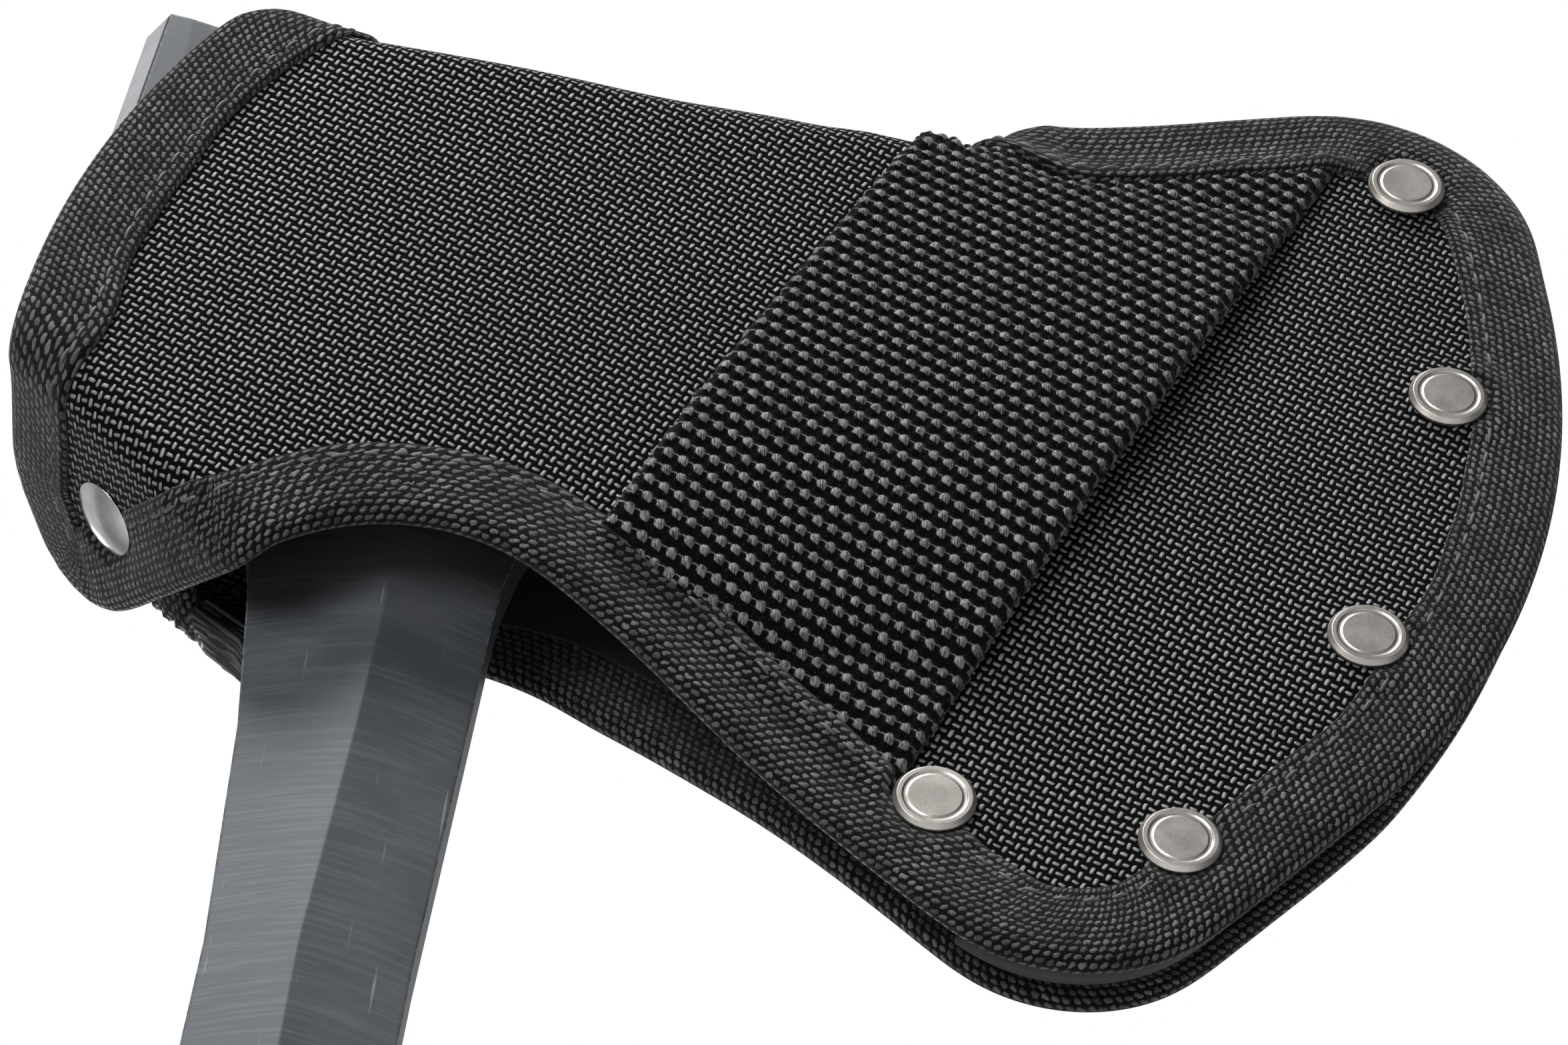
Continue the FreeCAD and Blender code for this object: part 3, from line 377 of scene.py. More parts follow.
def panel_mesh(rim, depth, spacing=1.25):
    """Closed sheet of fabric that fills the rim up to the crest."""
    edge = rim + inward_normals(rim) * TAPE_TURN
    top_u = np.arange(edge[-1, 0] + spacing, edge[0, 0], spacing)
    crest_line = np.stack([top_u, crest(top_u)], -1)
    edge[-1, 1] = crest(edge[-1, 0])
    edge[0, 1] = crest(edge[0, 0])
    outline, _ = resample(edge, spacing)
    loop = np.concatenate([outline, crest_line])
    count = len(loop)
    low, high = loop.min(0), loop.max(0)
    gu, gv = np.meshgrid(np.arange(low[0], high[0], spacing), np.arange(low[1], high[1], spacing))
    gu = gu + (np.arange(gu.shape[0]) % 2)[:, None] * spacing / 2
    grid = np.stack([gu.ravel(), gv.ravel()], -1)
    inside = np.zeros(len(grid), bool)
    nearest = np.full(len(grid), 1e9)
    for i in range(count):
        a, b = loop[i], loop[(i + 1) % count]
        crosses = (a[1] > grid[:, 1]) != (b[1] > grid[:, 1])
        if crosses.any():
            at = a[0] + (grid[:, 1] - a[1]) / (b[1] - a[1] + 1e-12) * (b[0] - a[0])
            inside ^= crosses & (grid[:, 0] < at)
        nearest = np.minimum(nearest, np.hypot(*(grid - a).T))
    grid = grid[inside & (nearest > spacing * 0.55)]
    points = np.concatenate([loop, grid])
    edges = [(i, (i + 1) % count) for i in range(count)]
    verts2, _, faces, *_ = delaunay_2d_cdt([Vector(p) for p in points], edges,
                                           [list(range(count))], 1, 1e-5)
    flat = np.array([tuple(p) for p in verts2])
    u, v = flat[:, 0], flat[:, 1]
    outer = offset_sheet(u, v, np.zeros(len(u)), depth)
    inner = offset_sheet(u, v, np.full(len(u), -FABRIC), depth)
    total = len(flat)
    sample = faces[0]
    area = sum(flat[sample[i], 0] * flat[sample[(i + 1) % 3], 1]
               - flat[sample[(i + 1) % 3], 0] * flat[sample[i], 1] for i in range(3))
    if area < 0:
        faces = [tuple(reversed(f)) for f in faces]
    quads = [tuple(f) for f in faces] + [tuple(total + i for i in reversed(f)) for f in faces]
    used = dict.fromkeys((f[i], f[(i + 1) % len(f)]) for f in faces for i in range(len(f)))
    for a, b in used:
        if (b, a) not in used:
            quads.append((b, a, total + a, total + b))
    place = weave_place(u, v)
    return np.concatenate([outer, inner]), quads, np.concatenate([place, place])


def clear_of_rivets(u, v, radius, fade):
    """0 within a radius of a rivet, rising to 1 away from it."""
    free = np.ones_like(u)
    for x, z, _seat in RIVETS:
        free = np.minimum(free, smooth((np.hypot(u - x, v - z) - radius) / fade))
    return free


def near_caps(u, v):
    """0 under a rivet or snap cap, 1 away from it."""
    free = clear_of_rivets(u, v, 4.3, 1.6)
    snap = np.array(wrapped(0.0, 0.0, 0.0))
    return np.minimum(free, smooth((np.hypot(u - snap[0], v - snap[1]) - 4.4) / 1.5))


def webbing_under(u, v):
    """1 where the belt loop's ends pass under the binding."""
    place = weave_place(u, v)
    return smooth((WEB_HALF + 1.5 - np.abs(place[..., 0])) / 3.0)


TAPE_SECTION = [  # distance in from the rim, height over the fabric's outer face
    (10.5, 0.02), (10.5, 0.42), (10.3, 0.72), (9.9, 0.86), (9.3, 0.88), (8.6, 0.80), (7.9, 0.90),
    (6.6, 0.95), (5.2, 0.97), (3.9, 0.97), (2.8, 0.95), (1.9, 0.86), (1.2, 0.66), (0.6, 0.34),
    (0.2, -0.12), (0.05, -0.6), (0.2, -1.08), (0.6, -1.54), (1.2, -1.86), (1.9, -2.04),
    (2.8, -2.1), (5.2, -2.1), (7.9, -2.1), (9.6, -2.1), (10.3, -1.92), (10.5, -1.6), (10.5, -1.2),
    (6.0, -1.1), (1.2, -1.0), (0.95, -0.6), (1.2, -0.2), (6.0, -0.1),
]


def tape_growth(count):
    """Share of its full width that the tape has at each of count rim points: it starts narrow."""
    return smooth(np.arange(count) * RIM_STEP / 16.0 + 0.12)


def tape_mesh(rim, depth, seed):
    """Binding tape folded over the rim, with the small gathers it takes round curves."""
    normals = inward_normals(rim)
    rows, columns = len(rim), len(TAPE_SECTION)
    run = np.arange(rows) * RIM_STEP
    rng = np.random.default_rng(seed)
    tangent = np.gradient(rim, axis=0)
    heading = np.unwrap(np.arctan2(tangent[:, 1], tangent[:, 0]))
    bend = soften(np.gradient(heading) / RIM_STEP, 30)
    gather = np.clip(np.abs(bend) * 14, 0.05, 1.0)
    waves = [(rng.uniform(0, 6.3), rng.uniform(2.6, 7.5)) for _ in range(6)]
    drift = sum(np.sin(run / length * 2 * PI + phase) for phase, length in waves) / 6
    sway = sum(np.sin(run / (length * 5) * 2 * PI + phase) for phase, length in waves) / 6
    grow = tape_growth(rows)
    verts = np.zeros((rows, columns, 3))
    uvs = np.zeros((rows, columns, 2))
    length = 0.0
    for j, (inset, height) in enumerate(TAPE_SECTION):
        share = inset / TAPE_WIDTH
        width = inset * grow + 0.35 * sway * share
        shift = 0.5 * drift * gather * share
        at = rim + normals * width[:, None] + tangent / RIM_STEP * shift[:, None]
        u, v = at[:, 0], at[:, 1]
        if height > -0.5:  # the tape's outer side
            press = near_caps(u, v)
            ripple = 0.26 * gather * drift * math.sin(PI * min(1.0, share * 1.05))
            pleated = smooth((12 - u) / 10) * smooth((u + 34) / 10) * (v < 290)
            pleat = np.sin(2 * PI * (run + 0.9 * inset) / 2.7 + 1.2 * drift)
            ripple = ripple + 0.34 * pleated * pleat * math.sin(PI * min(1.0, share * 0.95))
            over = 0.95 * webbing_under(u, v) * smooth((inset - 6.0) / 3.0) * (v > 240)
            lift = height * press + ripple * press + over * (depth == 0) * press
        else:
            lift = np.full(rows, height)
        verts[:, j] = offset_sheet(u, v, lift, depth)
        if j:
            last = TAPE_SECTION[j - 1]
            length += math.hypot(inset - last[0], height - last[1])
        uvs[:, j, 0] = run
        uvs[:, j, 1] = length
    faces = [tuple(reversed(f)) for f in tube_faces(rows, columns)]
    return verts.reshape(-1, 3), faces, uvs.reshape(-1, 2)


def web_relief(p, q):
    """Height of the webbing's crowns: neighbouring yarns pass over on alternate rows."""
    j = np.floor(q / WEB_ROW)
    fq = q / WEB_ROW - j - 0.5
    t = p / (2 * WEB_YARN) + 0.5 * (j % 2)
    ft = t - np.floor(t) - 0.5
    dome = 1 - (np.abs(ft) / 0.34) ** 2.2 - (np.abs(fq + 0.02) / 0.44) ** 2.2
    cord = 1 - (np.abs(fq - 0.08) / 0.20) ** 2
    return np.sqrt(np.clip(dome, 0, 1)) + (dome <= 0) * 0.35 * np.clip(cord, 0, 1)


def column_ends(p):
    """Where a webbing column starts and stops along the strip: under the bindings."""
    q = np.arange(-85, 85, 0.25)
    u = WEB_CENTRE[0] + ACROSS[0] * p + ALONG[0] * q
    v = WEB_CENTRE[1] + ACROSS[1] * p + ALONG[1] * q
    rim = FRONT_RIM
    reach = np.full(len(q), 1e9)
    for k in range(0, len(rim), 3):
        reach = np.minimum(reach, np.hypot(u - rim[k, 0], v - rim[k, 1]))
    low_side = (v < 300) & (reach < 8.6)
    low = q[low_side].max() if low_side.any() else -60.0
    top_limit = np.where(u < 60, crest(u) - 5.5, 1e3)
    blend_in = smooth((u - 60) / 12)
    high_side = (v > 300) & ((v > top_limit) | ((u >= 60) & (reach < mix(5.0, 8.4, blend_in))))
    high = q[high_side].min() if high_side.any() else 60.0
    return low, high


def webbing_mesh():
    """Belt loop: a strip of webbing, with its weave modelled, sewn at both ends."""
    columns = int(round(2 * WEB_HALF / (WEB_YARN / 3))) + 1
    ps = np.linspace(-WEB_HALF, WEB_HALF, columns)
    coarse = np.linspace(-WEB_HALF, WEB_HALF, 29)
    ends = np.array([column_ends(p) for p in coarse])
    lows = soften(np.stack([coarse, ends[:, 0]], -1), 4)[:, 1]
    highs = soften(np.stack([coarse, ends[:, 1]], -1), 4)[:, 1]
    low, high = np.interp(ps, coarse, lows), np.interp(ps, coarse, highs)
    rows = int((high - low).max() / (WEB_ROW / 5)) + 1
    t = np.linspace(0, 1, rows)[:, None]
    q = low + (high - low) * t
    p = np.broadcast_to(ps, q.shape).copy()
    rng = np.random.default_rng(5)
    fray = 0.16 * rng.standard_normal(q.shape) * (np.abs(p) > WEB_HALF - 0.4)
    u = WEB_CENTRE[0] + ACROSS[0] * (p + fray) + ALONG[0] * q
    v = WEB_CENTRE[1] + ACROSS[1] * (p + fray) + ALONG[1] * q
    stand = np.clip((v - 262.0) / 76.0, 0, 1)
    room = 2.3 * np.sqrt(np.sin(PI * stand))
    room = room * (1 + 0.10 * np.cos(p / WEB_HALF * 1.4))
    to_end = np.minimum(q - low, high - q)
    body = mix(0.75, 1.45, smooth((to_end - 1.0) / 5.0))
    edge = np.clip((WEB_HALF - np.abs(p)) / 1.1, 0, 1)
    body = body * np.sqrt(1 - (1 - edge) ** 2 * 0.75)
    relief = 0.55 * web_relief(p, q) * (0.35 + 0.65 * edge) * mix(0.6, 1.0, smooth(to_end / 4.0))
    free = clear_of_rivets(u, v, 4.0, 1.4)
    top = offset_sheet(u, v, 0.08 + (room + body + relief) * free)
    under = offset_sheet(u, v, 0.04 + room * free)
    verts = np.concatenate([top.reshape(-1, 3), under.reshape(-1, 3)])
    uvs = np.stack([p, q], -1).reshape(-1, 2)
    count = rows * columns
    faces = grid_faces(rows, columns)
    faces += [tuple(count + i for i in reversed(f)) for f in grid_faces(rows, columns)]
    rim = list(range(columns))
    rim += [i * columns + columns - 1 for i in range(1, rows)]
    rim += [(rows - 1) * columns + j for j in range(columns - 2, -1, -1)]
    rim += [i * columns for i in range(rows - 2, 0, -1)]
    for k, a in enumerate(rim):
        b = rim[(k + 1) % len(rim)]
        faces.append((b, a, count + a, count + b))
    return verts, faces, np.concatenate([uvs, uvs])


def stitch_mesh(line_u, line_v, lifts, depth, seed):
    """Row of thread stitches along a line of the pattern, each sunk into the cloth at its ends."""
    length, gap, radius = 2.3, 1.0, 0.24
    points = np.stack([line_u, line_v], -1)
    run = np.concatenate([[0], np.cumsum(np.linalg.norm(np.diff(points, axis=0), axis=1))])
    rng = np.random.default_rng(seed)
    verts, faces = [], []
    start = 0.4
    sides, rings = 6, 7
    while start + length < run[-1]:
        here = length * rng.uniform(0.9, 1.08)
        at = np.linspace(start, start + here, rings)
        skew = rng.normal(0, 0.05)
        u = np.interp(at, run, points[:, 0])
        v = np.interp(at, run, points[:, 1])
        lift = np.interp(at, run, lifts)
        arch = np.sin(np.linspace(0, PI, rings))
        centre, normal = sheet_frame(u, v, depth)
        centre = centre + normal * (lift + radius * (arch * 1.1 - 0.75))[:, None]
        ahead = np.gradient(centre, axis=0)
        ahead /= np.linalg.norm(ahead, axis=1, keepdims=True)
        side = np.cross(normal, ahead)
        centre = centre + side * (skew * np.linspace(-1, 1, rings))[:, None]
        base = len(verts)
        for i in range(rings):
            r = radius * (0.45 + 0.55 * arch[i] ** 0.5)
            for k in range(sides):
                a = 2 * PI * k / sides
                verts.append(centre[i] + r * (math.cos(a) * side[i] + math.sin(a) * normal[i]))
        faces += tube_faces(rings, sides, base)
        start += here + gap * rng.uniform(0.9, 1.15)
    return np.array(verts), faces


def rim_stitches(rim, depth, inset, seed):
    """Line of stitches along the binding, left out where a rivet or snap cap covers it."""
    line = rim + inward_normals(rim) * (inset * tape_growth(len(rim)))[:, None]
    u, v = line[:, 0], line[:, 1]
    press = near_caps(u, v)
    lift = 0.8 * press + (0.9 * webbing_under(u, v) * press if depth == 0 else 0)
    keep = press > 0.97
    pieces, faces, count = [], [], 0
    start = 0
    while start < len(line):
        if not keep[start]:
            start += 1
            continue
        stop = start
        while stop < len(line) and keep[stop]:
            stop += 1
        if stop - start > 8:
            part, part_faces = stitch_mesh(u[start:stop], v[start:stop], lift[start:stop], depth,
                                           seed + start)
            if len(part):
                pieces.append(part)
                faces += [tuple(i + count for i in f) for f in part_faces]
                count += len(part)
        start = stop
    return np.concatenate(pieces), faces


def welt_mesh():
    """Guard strip between the panels, along the cutting edge."""
    rim = FRONT_RIM
    run = np.arange(len(rim)) * RIM_STEP
    keep = (run > 22) & (rim[:, 0] > 62) & (run < 230)
    line = rim[keep]
    normals = inward_normals(rim)[keep]
    section = [(2.6, 1.15), (2.1, 0.7), (1.9, 0.0), (2.1, -0.7), (2.6, -1.15), (4.0, -1.4),
               (14.5, -1.4), (14.8, 0.0), (14.5, 1.4), (4.0, 1.4)]
    verts, uvs = [], []
    for k in range(0, len(line), 2):
        for j, (inset, y) in enumerate(section):
            at = line[k] + normals[k] * inset
            verts.append((at[0], y, at[1]))
            uvs.append((k * RIM_STEP, j * 1.3))
    faces = tube_faces(len(verts) // len(section), len(section))
    return np.array(verts), faces, np.array(uvs)


def grip_mesh():
    """Leather washers, each pressed out to a slightly crowned edge."""
    points = node_points("leather_washers")
    low, high = points[:, 2].min(), points[:, 2].max()
    around = 96
    pitch = (high - low) / WASHERS
    # share of the washer's height, and how far the edge stands out
    profile = [(0.00, -0.70), (0.04, -0.30), (0.16, -0.08), (0.35, 0.0), (0.65, 0.0),
               (0.84, -0.08), (0.96, -0.30), (1.00, -0.70)]
    rng = np.random.default_rng(41)
    turn = np.linspace(0, 2 * PI, around, endpoint=False)
    verts, faces, uvs = [], [], []
    for i in range(WASHERS):
        foot = low + i * pitch
        ring = points[(points[:, 2] > foot - 0.1) & (points[:, 2] < foot + pitch + 0.1)]
        half_long, half_short = ring[:, 0].max(), ring[:, 1].max()
        shift = rng.normal(0, 0.06, 2)
        base = len(verts)
        for share, grow in profile:
            wave = 0.05 * np.sin(3 * turn + rng.uniform(0, 6.3))
            rx, ry = half_long + grow + wave, half_short + grow + wave
            z = foot + 0.03 + share * (pitch - 0.06)
            for k in range(around):
                verts.append((rx[k] * math.cos(turn[k]) + shift[0],
                              ry[k] * math.sin(turn[k]) + shift[1], z))
                uvs.append((k, i * 10 + share * 5))
        faces += tube_faces(len(profile), around, base)
    return verts, faces, uvs


# ------------------------------------------------------------------ materials
class Paint:
    """Node material with a Principled shader, built by small calls."""

    def __init__(self, name):
        self.material = bpy.data.materials.new(name)
        self.material.use_nodes = True
        self.tree = self.material.node_tree
        self.shader = self.tree.nodes["Principled BSDF"]
        self.coordinates = self.tree.nodes.new("ShaderNodeTexCoord")

    def put(self, socket, value):
        """Link a socket, or give it a plain value."""
        if isinstance(value, bpy.types.NodeSocket):
            self.tree.links.new(value, socket)
        elif value is not None:
            socket.default_value = value

    def set(self, **values):
        """Inputs of the shader, with _ for the spaces in their names."""
        for key, value in values.items():
            self.put(self.shader.inputs[key.replace("_", " ")], value)

    def math(self, operation, a, b=None, c=None, clamp=False):
        node = self.tree.nodes.new("ShaderNodeMath")
        node.operation = operation
        node.use_clamp = clamp
        for socket, value in zip(node.inputs, (a, b, c)):
            self.put(socket, value)
        return node.outputs[0]

    def step(self, value, low, high, out_low=0.0, out_high=1.0):
        """Smooth step between two outputs as the value goes from low to high."""
        node = self.tree.nodes.new("ShaderNodeMapRange")
        node.interpolation_type = "SMOOTHSTEP"
        for socket, item in zip(node.inputs, (value, low, high, out_low, out_high)):
            self.put(socket, item)
        return node.outputs[0]

    def mix(self, factor, a, b):
        node = self.tree.nodes.new("ShaderNodeMix")
        node.data_type = "RGBA"
        self.put(node.inputs[0], factor)
        for socket, value in ((node.inputs[6], a), (node.inputs[7], b)):
            if isinstance(value, tuple) and len(value) == 3:
                value = (*value, 1)
            self.put(socket, value)
        return node.outputs[2]

    def vector(self, x, y, z=0.0):
        node = self.tree.nodes.new("ShaderNodeCombineXYZ")
        for socket, value in zip(node.inputs, (x, y, z)):
            self.put(socket, value)
        return node.outputs[0]

    def split(self, vector):
        node = self.tree.nodes.new("ShaderNodeSeparateXYZ")
        self.put(node.inputs[0], vector)
        return node.outputs

    def pattern(self):
        """Pattern coordinates in millimetres."""
        x, y, _ = self.split(self.coordinates.outputs["UV"])
        return self.math("MULTIPLY", x, UV_SCALE), self.math("MULTIPLY", y, UV_SCALE)

    def stretch(self, parts, factors):
        """Vector of the parts, each times its factor."""
        return self.vector(*(self.math("MULTIPLY", *pair) for pair in zip(parts, factors)))

    def stray(self, value, noise, amount):
        """Value moved either way by the noise."""
        away = self.math("SUBTRACT", noise, 0.5)
        return self.math("ADD", value, self.math("MULTIPLY", away, amount))

    def off_centre(self, value, whole):
        """Distance from the middle of a cell that starts at whole."""
        return self.math("SUBTRACT", self.math("SUBTRACT", value, whole), 0.5)

    def bulge(self, value, half, power):
        """0 in the middle, and 1 at a distance of half."""
        return self.math("POWER", self.math("ABSOLUTE", self.math("DIVIDE", value, half)), power)

    def noise(self, vector, scale, detail=2.0, rough=0.5):
        node = self.tree.nodes.new("ShaderNodeTexNoise")
        self.put(node.inputs["Vector"], vector)
        self.put(node.inputs["Scale"], scale)
        self.put(node.inputs["Detail"], detail)
        self.put(node.inputs["Roughness"], rough)
        return node.outputs[0]

    def white(self, vector):
        """One random value for each whole place."""
        node = self.tree.nodes.new("ShaderNodeTexWhiteNoise")
        node.noise_dimensions = "2D"
        self.put(node.inputs["Vector"], vector)
        return node.outputs[0]

    def bump(self, height, distance, strength, normal=None):
        node = self.tree.nodes.new("ShaderNodeBump")
        self.put(node.inputs["Strength"], strength)
        self.put(node.inputs["Distance"], distance * MM)
        self.put(node.inputs["Height"], height)
        if normal is not None:
            self.put(node.inputs["Normal"], normal)
        return node.outputs[0]


def plain_weave(p, x, y, pitch_x, pitch_y, size_a, size_b):
    """Crowns of a plain weave. Returns masks of both yarn sets, height and a value per crown."""
    u, v = p.math("DIVIDE", x, pitch_x), p.math("DIVIDE", y, pitch_y)
    i, j = p.math("FLOOR", u), p.math("FLOOR", v)
    au = p.math("ABSOLUTE", p.off_centre(u, i))
    av = p.math("ABSOLUTE", p.off_centre(v, j))
    odd = p.math("FLOORED_MODULO", p.math("ADD", i, j), 2.0)
    even = p.math("SUBTRACT", 1.0, odd)

    def crown(a, b, size):
        side = p.math("POWER", p.math("DIVIDE", a, size[0]), 2.6)
        end = p.math("POWER", p.math("DIVIDE", b, size[1]), 3.2)
        return p.math("SUBTRACT", 1.0, p.math("ADD", side, end))

    upright = p.math("MULTIPLY", crown(au, av, size_a), even)
    level = p.math("MULTIPLY", crown(av, au, size_b), odd)
    mask_a = p.step(upright, 0.0, 0.4)
    mask_b = p.step(level, 0.0, 0.4)
    high = p.math("MAXIMUM", upright, level)
    height = p.math("POWER", p.math("MAXIMUM", high, 0.0001), 0.6)
    return mask_a, mask_b, height, p.white(p.vector(i, j))


def half_drop(p, along, across, pitch_along, pitch_across):
    """Cells set off by half a pitch on alternate rows: column, row, and place in the cell."""
    v = p.math("DIVIDE", across, pitch_across)
    row = p.math("FLOOR", v)
    odd = p.math("FLOORED_MODULO", row, 2.0)
    u = p.math("MULTIPLY_ADD", odd, 0.5, p.math("DIVIDE", along, pitch_along))
    column = p.math("FLOOR", u)
    return column, row, p.off_centre(u, column), p.off_centre(v, row)


def dashes(p, along, across, pitch_along, pitch_across, size, tilt):
    """Leaning floats of a narrow tape: height, and a value per float."""
    column, row, fu, fv = half_drop(p, along, across, pitch_along, pitch_across)
    x, y = p.math("MULTIPLY", fu, pitch_along), p.math("MULTIPLY", fv, pitch_across)
    cos, sin = math.cos(tilt), math.sin(tilt)
    turn_x = p.math("ADD", p.math("MULTIPLY", x, cos), p.math("MULTIPLY", y, sin))
    turn_y = p.math("SUBTRACT", p.math("MULTIPLY", y, cos), p.math("MULTIPLY", x, sin))
    edge = p.math("ADD", p.bulge(turn_x, size[0], 2.4), p.bulge(turn_y, size[1], 2.4))
    dome = p.math("MAXIMUM", p.math("SUBTRACT", 1.0, edge), 0.0001)
    return dome, p.white(p.vector(column, row))


def nylon():
    """Coarse ballistic nylon: the grey of the filament crowns is painted sheen, and the near-black
    of the gaps is painted shade between the yarns.
    """
    p = Paint("ballistic_nylon")
    x, y = p.pattern()
    wobble = p.noise(p.vector(x, y), 0.45)
    wobble2 = p.noise(p.vector(y, x), 0.4)
    x, y = p.stray(x, wobble, 0.5), p.stray(y, wobble2, 0.5)
    a, b, height, cell = plain_weave(p, x, y, 0.92, 1.19, (0.27, 0.43), (0.20, 0.50))
    fibre_a = p.noise(p.stretch((x, y), (9.0, 1.2)), 1.0)
    fibre_b = p.noise(p.stretch((x, y), (1.2, 9.0)), 1.0)
    # Painted sheen: the crowns of each yarn set are painted grey, streaked along their fibres.
    painted_sheen_a = p.math("MULTIPLY", a, p.math("MULTIPLY_ADD", fibre_a, 0.7, 0.6))
    painted_sheen_b = p.math("MULTIPLY", b, p.math("MULTIPLY_ADD", fibre_b, 0.7, 0.5))
    vary = p.math("MULTIPLY_ADD", cell, 0.4, 0.75)
    painted_sheen = p.math("MULTIPLY", p.math("ADD", painted_sheen_a, painted_sheen_b), vary)
    drift = p.noise(p.vector(x, y), 0.03, 3.0)
    painted_sheen = p.math("MULTIPLY", painted_sheen, p.step(drift, 0.25, 0.75, 0.8, 1.1))
    # Painted light: near black in the gaps stands for shade between the yarns, grey on the crowns
    # for their sheen.
    colour = p.mix(p.math("MULTIPLY", painted_sheen, 0.9, clamp=True), (0.0016, 0.0017, 0.0017),
                   (0.128, 0.136, 0.135))
    streak = p.math("ADD", p.math("MULTIPLY", p.math("MULTIPLY", a, fibre_a), 0.25),
                    p.math("MULTIPLY", p.math("MULTIPLY", b, fibre_b), 0.25))
    relief = p.math("ADD", height, streak)
    shine = p.math("MULTIPLY", p.math("ADD", a, b), 0.35, clamp=True)
    p.set(Base_Color=colour, Roughness=0.5, Sheen_Weight=0.06, Sheen_Roughness=0.4,
          Specular_IOR_Level=shine, Normal=p.bump(relief, 0.34, 1.0))
    return p.material


def tape_cloth():
    """Binding tape with short leaning floats, a little fuzzy. The floats are painted lighter as
    sheen, and the gaps near black as shade.
    """
    p = Paint("binding_tape")
    x, y = p.pattern()
    fuzz = p.noise(p.vector(x, y), 0.9, 3.0, 0.6)
    fuzz2 = p.noise(p.vector(y, x), 0.8, 3.0, 0.6)
    x, y = p.stray(x, fuzz, 0.9), p.stray(y, fuzz2, 0.8)
    dome, cell = dashes(p, x, y, 1.15, 0.88, (0.50, 0.27), math.radians(24))
    hair = p.noise(p.stretch((x, y), (3.0, 9.0)), 1.0, 3.0, 0.7)
    speck = p.noise(p.vector(x, y), 7.0, 3.0, 0.75)
    # Painted sheen on the floats, and painted shade in the gaps between them.
    painted_sheen = p.step(dome, 0.0, 0.5)
    painted_sheen = p.math("MULTIPLY", painted_sheen, p.math("MULTIPLY_ADD", cell, 0.8, 0.45))
    painted_sheen = p.math("MULTIPLY", painted_sheen, p.step(hair, 0.3, 0.7, 0.4, 1.2))
    painted_sheen = p.math("ADD", painted_sheen, p.step(speck, 0.55, 0.72, 0.0, 0.35))
    drift = p.noise(p.vector(x, y), 0.15, 3.0)
    painted_sheen = p.math("MULTIPLY", painted_sheen, p.step(drift, 0.3, 0.7, 0.6, 1.15))
    colour = p.mix(p.math("MULTIPLY", painted_sheen, 0.8, clamp=True), (0.0022, 0.0025, 0.0022),
                   (0.063, 0.070, 0.063))
    relief = p.math("ADD", p.math("POWER", dome, 0.6), p.math("MULTIPLY", hair, 0.4))
    p.set(Base_Color=colour, Roughness=0.62, Sheen_Weight=0.12, Sheen_Roughness=0.4,
          Specular_IOR_Level=p.math("MULTIPLY", painted_sheen, 0.35, clamp=True),
          Normal=p.bump(relief, 0.32, 1.0))
    return p.material


def web_cloth():
    """Belt webbing: thick filament yarns. The bright patch on each crown and the thin light cords
    between the crowns are painted highlights, and the black gaps are painted shade.
    """
    p = Paint("webbing")
    x, y = p.pattern()
    x = p.stray(x, p.noise(p.vector(x, y), 0.9, 3.0, 0.6), 0.5)
    column, row, ft, fq = half_drop(p, x, y, 2 * WEB_YARN, WEB_ROW)
    side = p.bulge(p.math("MULTIPLY_ADD", fq, 0.25, ft), 0.34, 2.6)
    tall = p.bulge(p.math("ADD", fq, -0.05), 0.33, 2.6)
    # Painted highlight: the lit flank of each crown, set a little off its middle.
    lit_crown = p.step(p.math("SUBTRACT", 1.0, p.math("ADD", side, tall)), 0.0, 0.45)
    bow = p.math("MULTIPLY_ADD", p.math("COSINE", p.math("MULTIPLY", ft, 2 * PI)), -0.09, 0.14)
    cord = p.step(p.math("ABSOLUTE", p.math("SUBTRACT", fq, bow)), 0.075, 0.03)
    cell = p.white(p.vector(column, row))
    across = p.math("MULTIPLY_ADD", y, 0.45, x)
    hair = p.noise(p.stretch((across, y), (6.0, 0.9)), 1.0, 3.0, 0.65)
    fuzz = p.noise(p.vector(x, y), 3.0, 3.0, 0.7)
    painted_sheen = p.math("MULTIPLY", lit_crown, p.step(hair, 0.38, 0.62, 0.15, 1.45))
    painted_sheen = p.math("MULTIPLY", painted_sheen, p.math("MULTIPLY_ADD", cell, 0.5, 0.7))
    # Painted highlight: thin lit lines along the cords between the crowns.
    link = p.math("MULTIPLY", cord, p.step(fuzz, 0.35, 0.65, 0.25, 0.9))
    painted_sheen = p.math("MAXIMUM", painted_sheen, link)
    painted_sheen = p.math("MAXIMUM", painted_sheen, p.step(fuzz, 0.58, 0.75, 0.0, 0.25))
    colour = p.mix(p.math("MULTIPLY", painted_sheen, 0.8, clamp=True), (0.0016, 0.0019, 0.0016),
                   (0.086, 0.093, 0.085))
    relief = p.math("ADD", p.math("MULTIPLY", hair, 0.6), p.math("MULTIPLY", fuzz, 0.5))
    p.set(Base_Color=colour, Roughness=0.55, Sheen_Weight=0.08, Sheen_Roughness=0.4,
          Specular_IOR_Level=p.math("MULTIPLY", painted_sheen, 0.35, clamp=True),
          Normal=p.bump(relief, 0.22, 0.9))
    return p.material


def thread():
    """Black sewing thread."""
    p = Paint("sewing_thread")
    grain = p.noise(p.coordinates.outputs["Object"], 3500.0)
    p.set(Base_Color=p.mix(grain, (0.009, 0.010, 0.010), (0.032, 0.034, 0.033)), Roughness=0.6,
          Sheen_Weight=0.1, Normal=p.bump(grain, 0.08, 0.8))
    return p.material


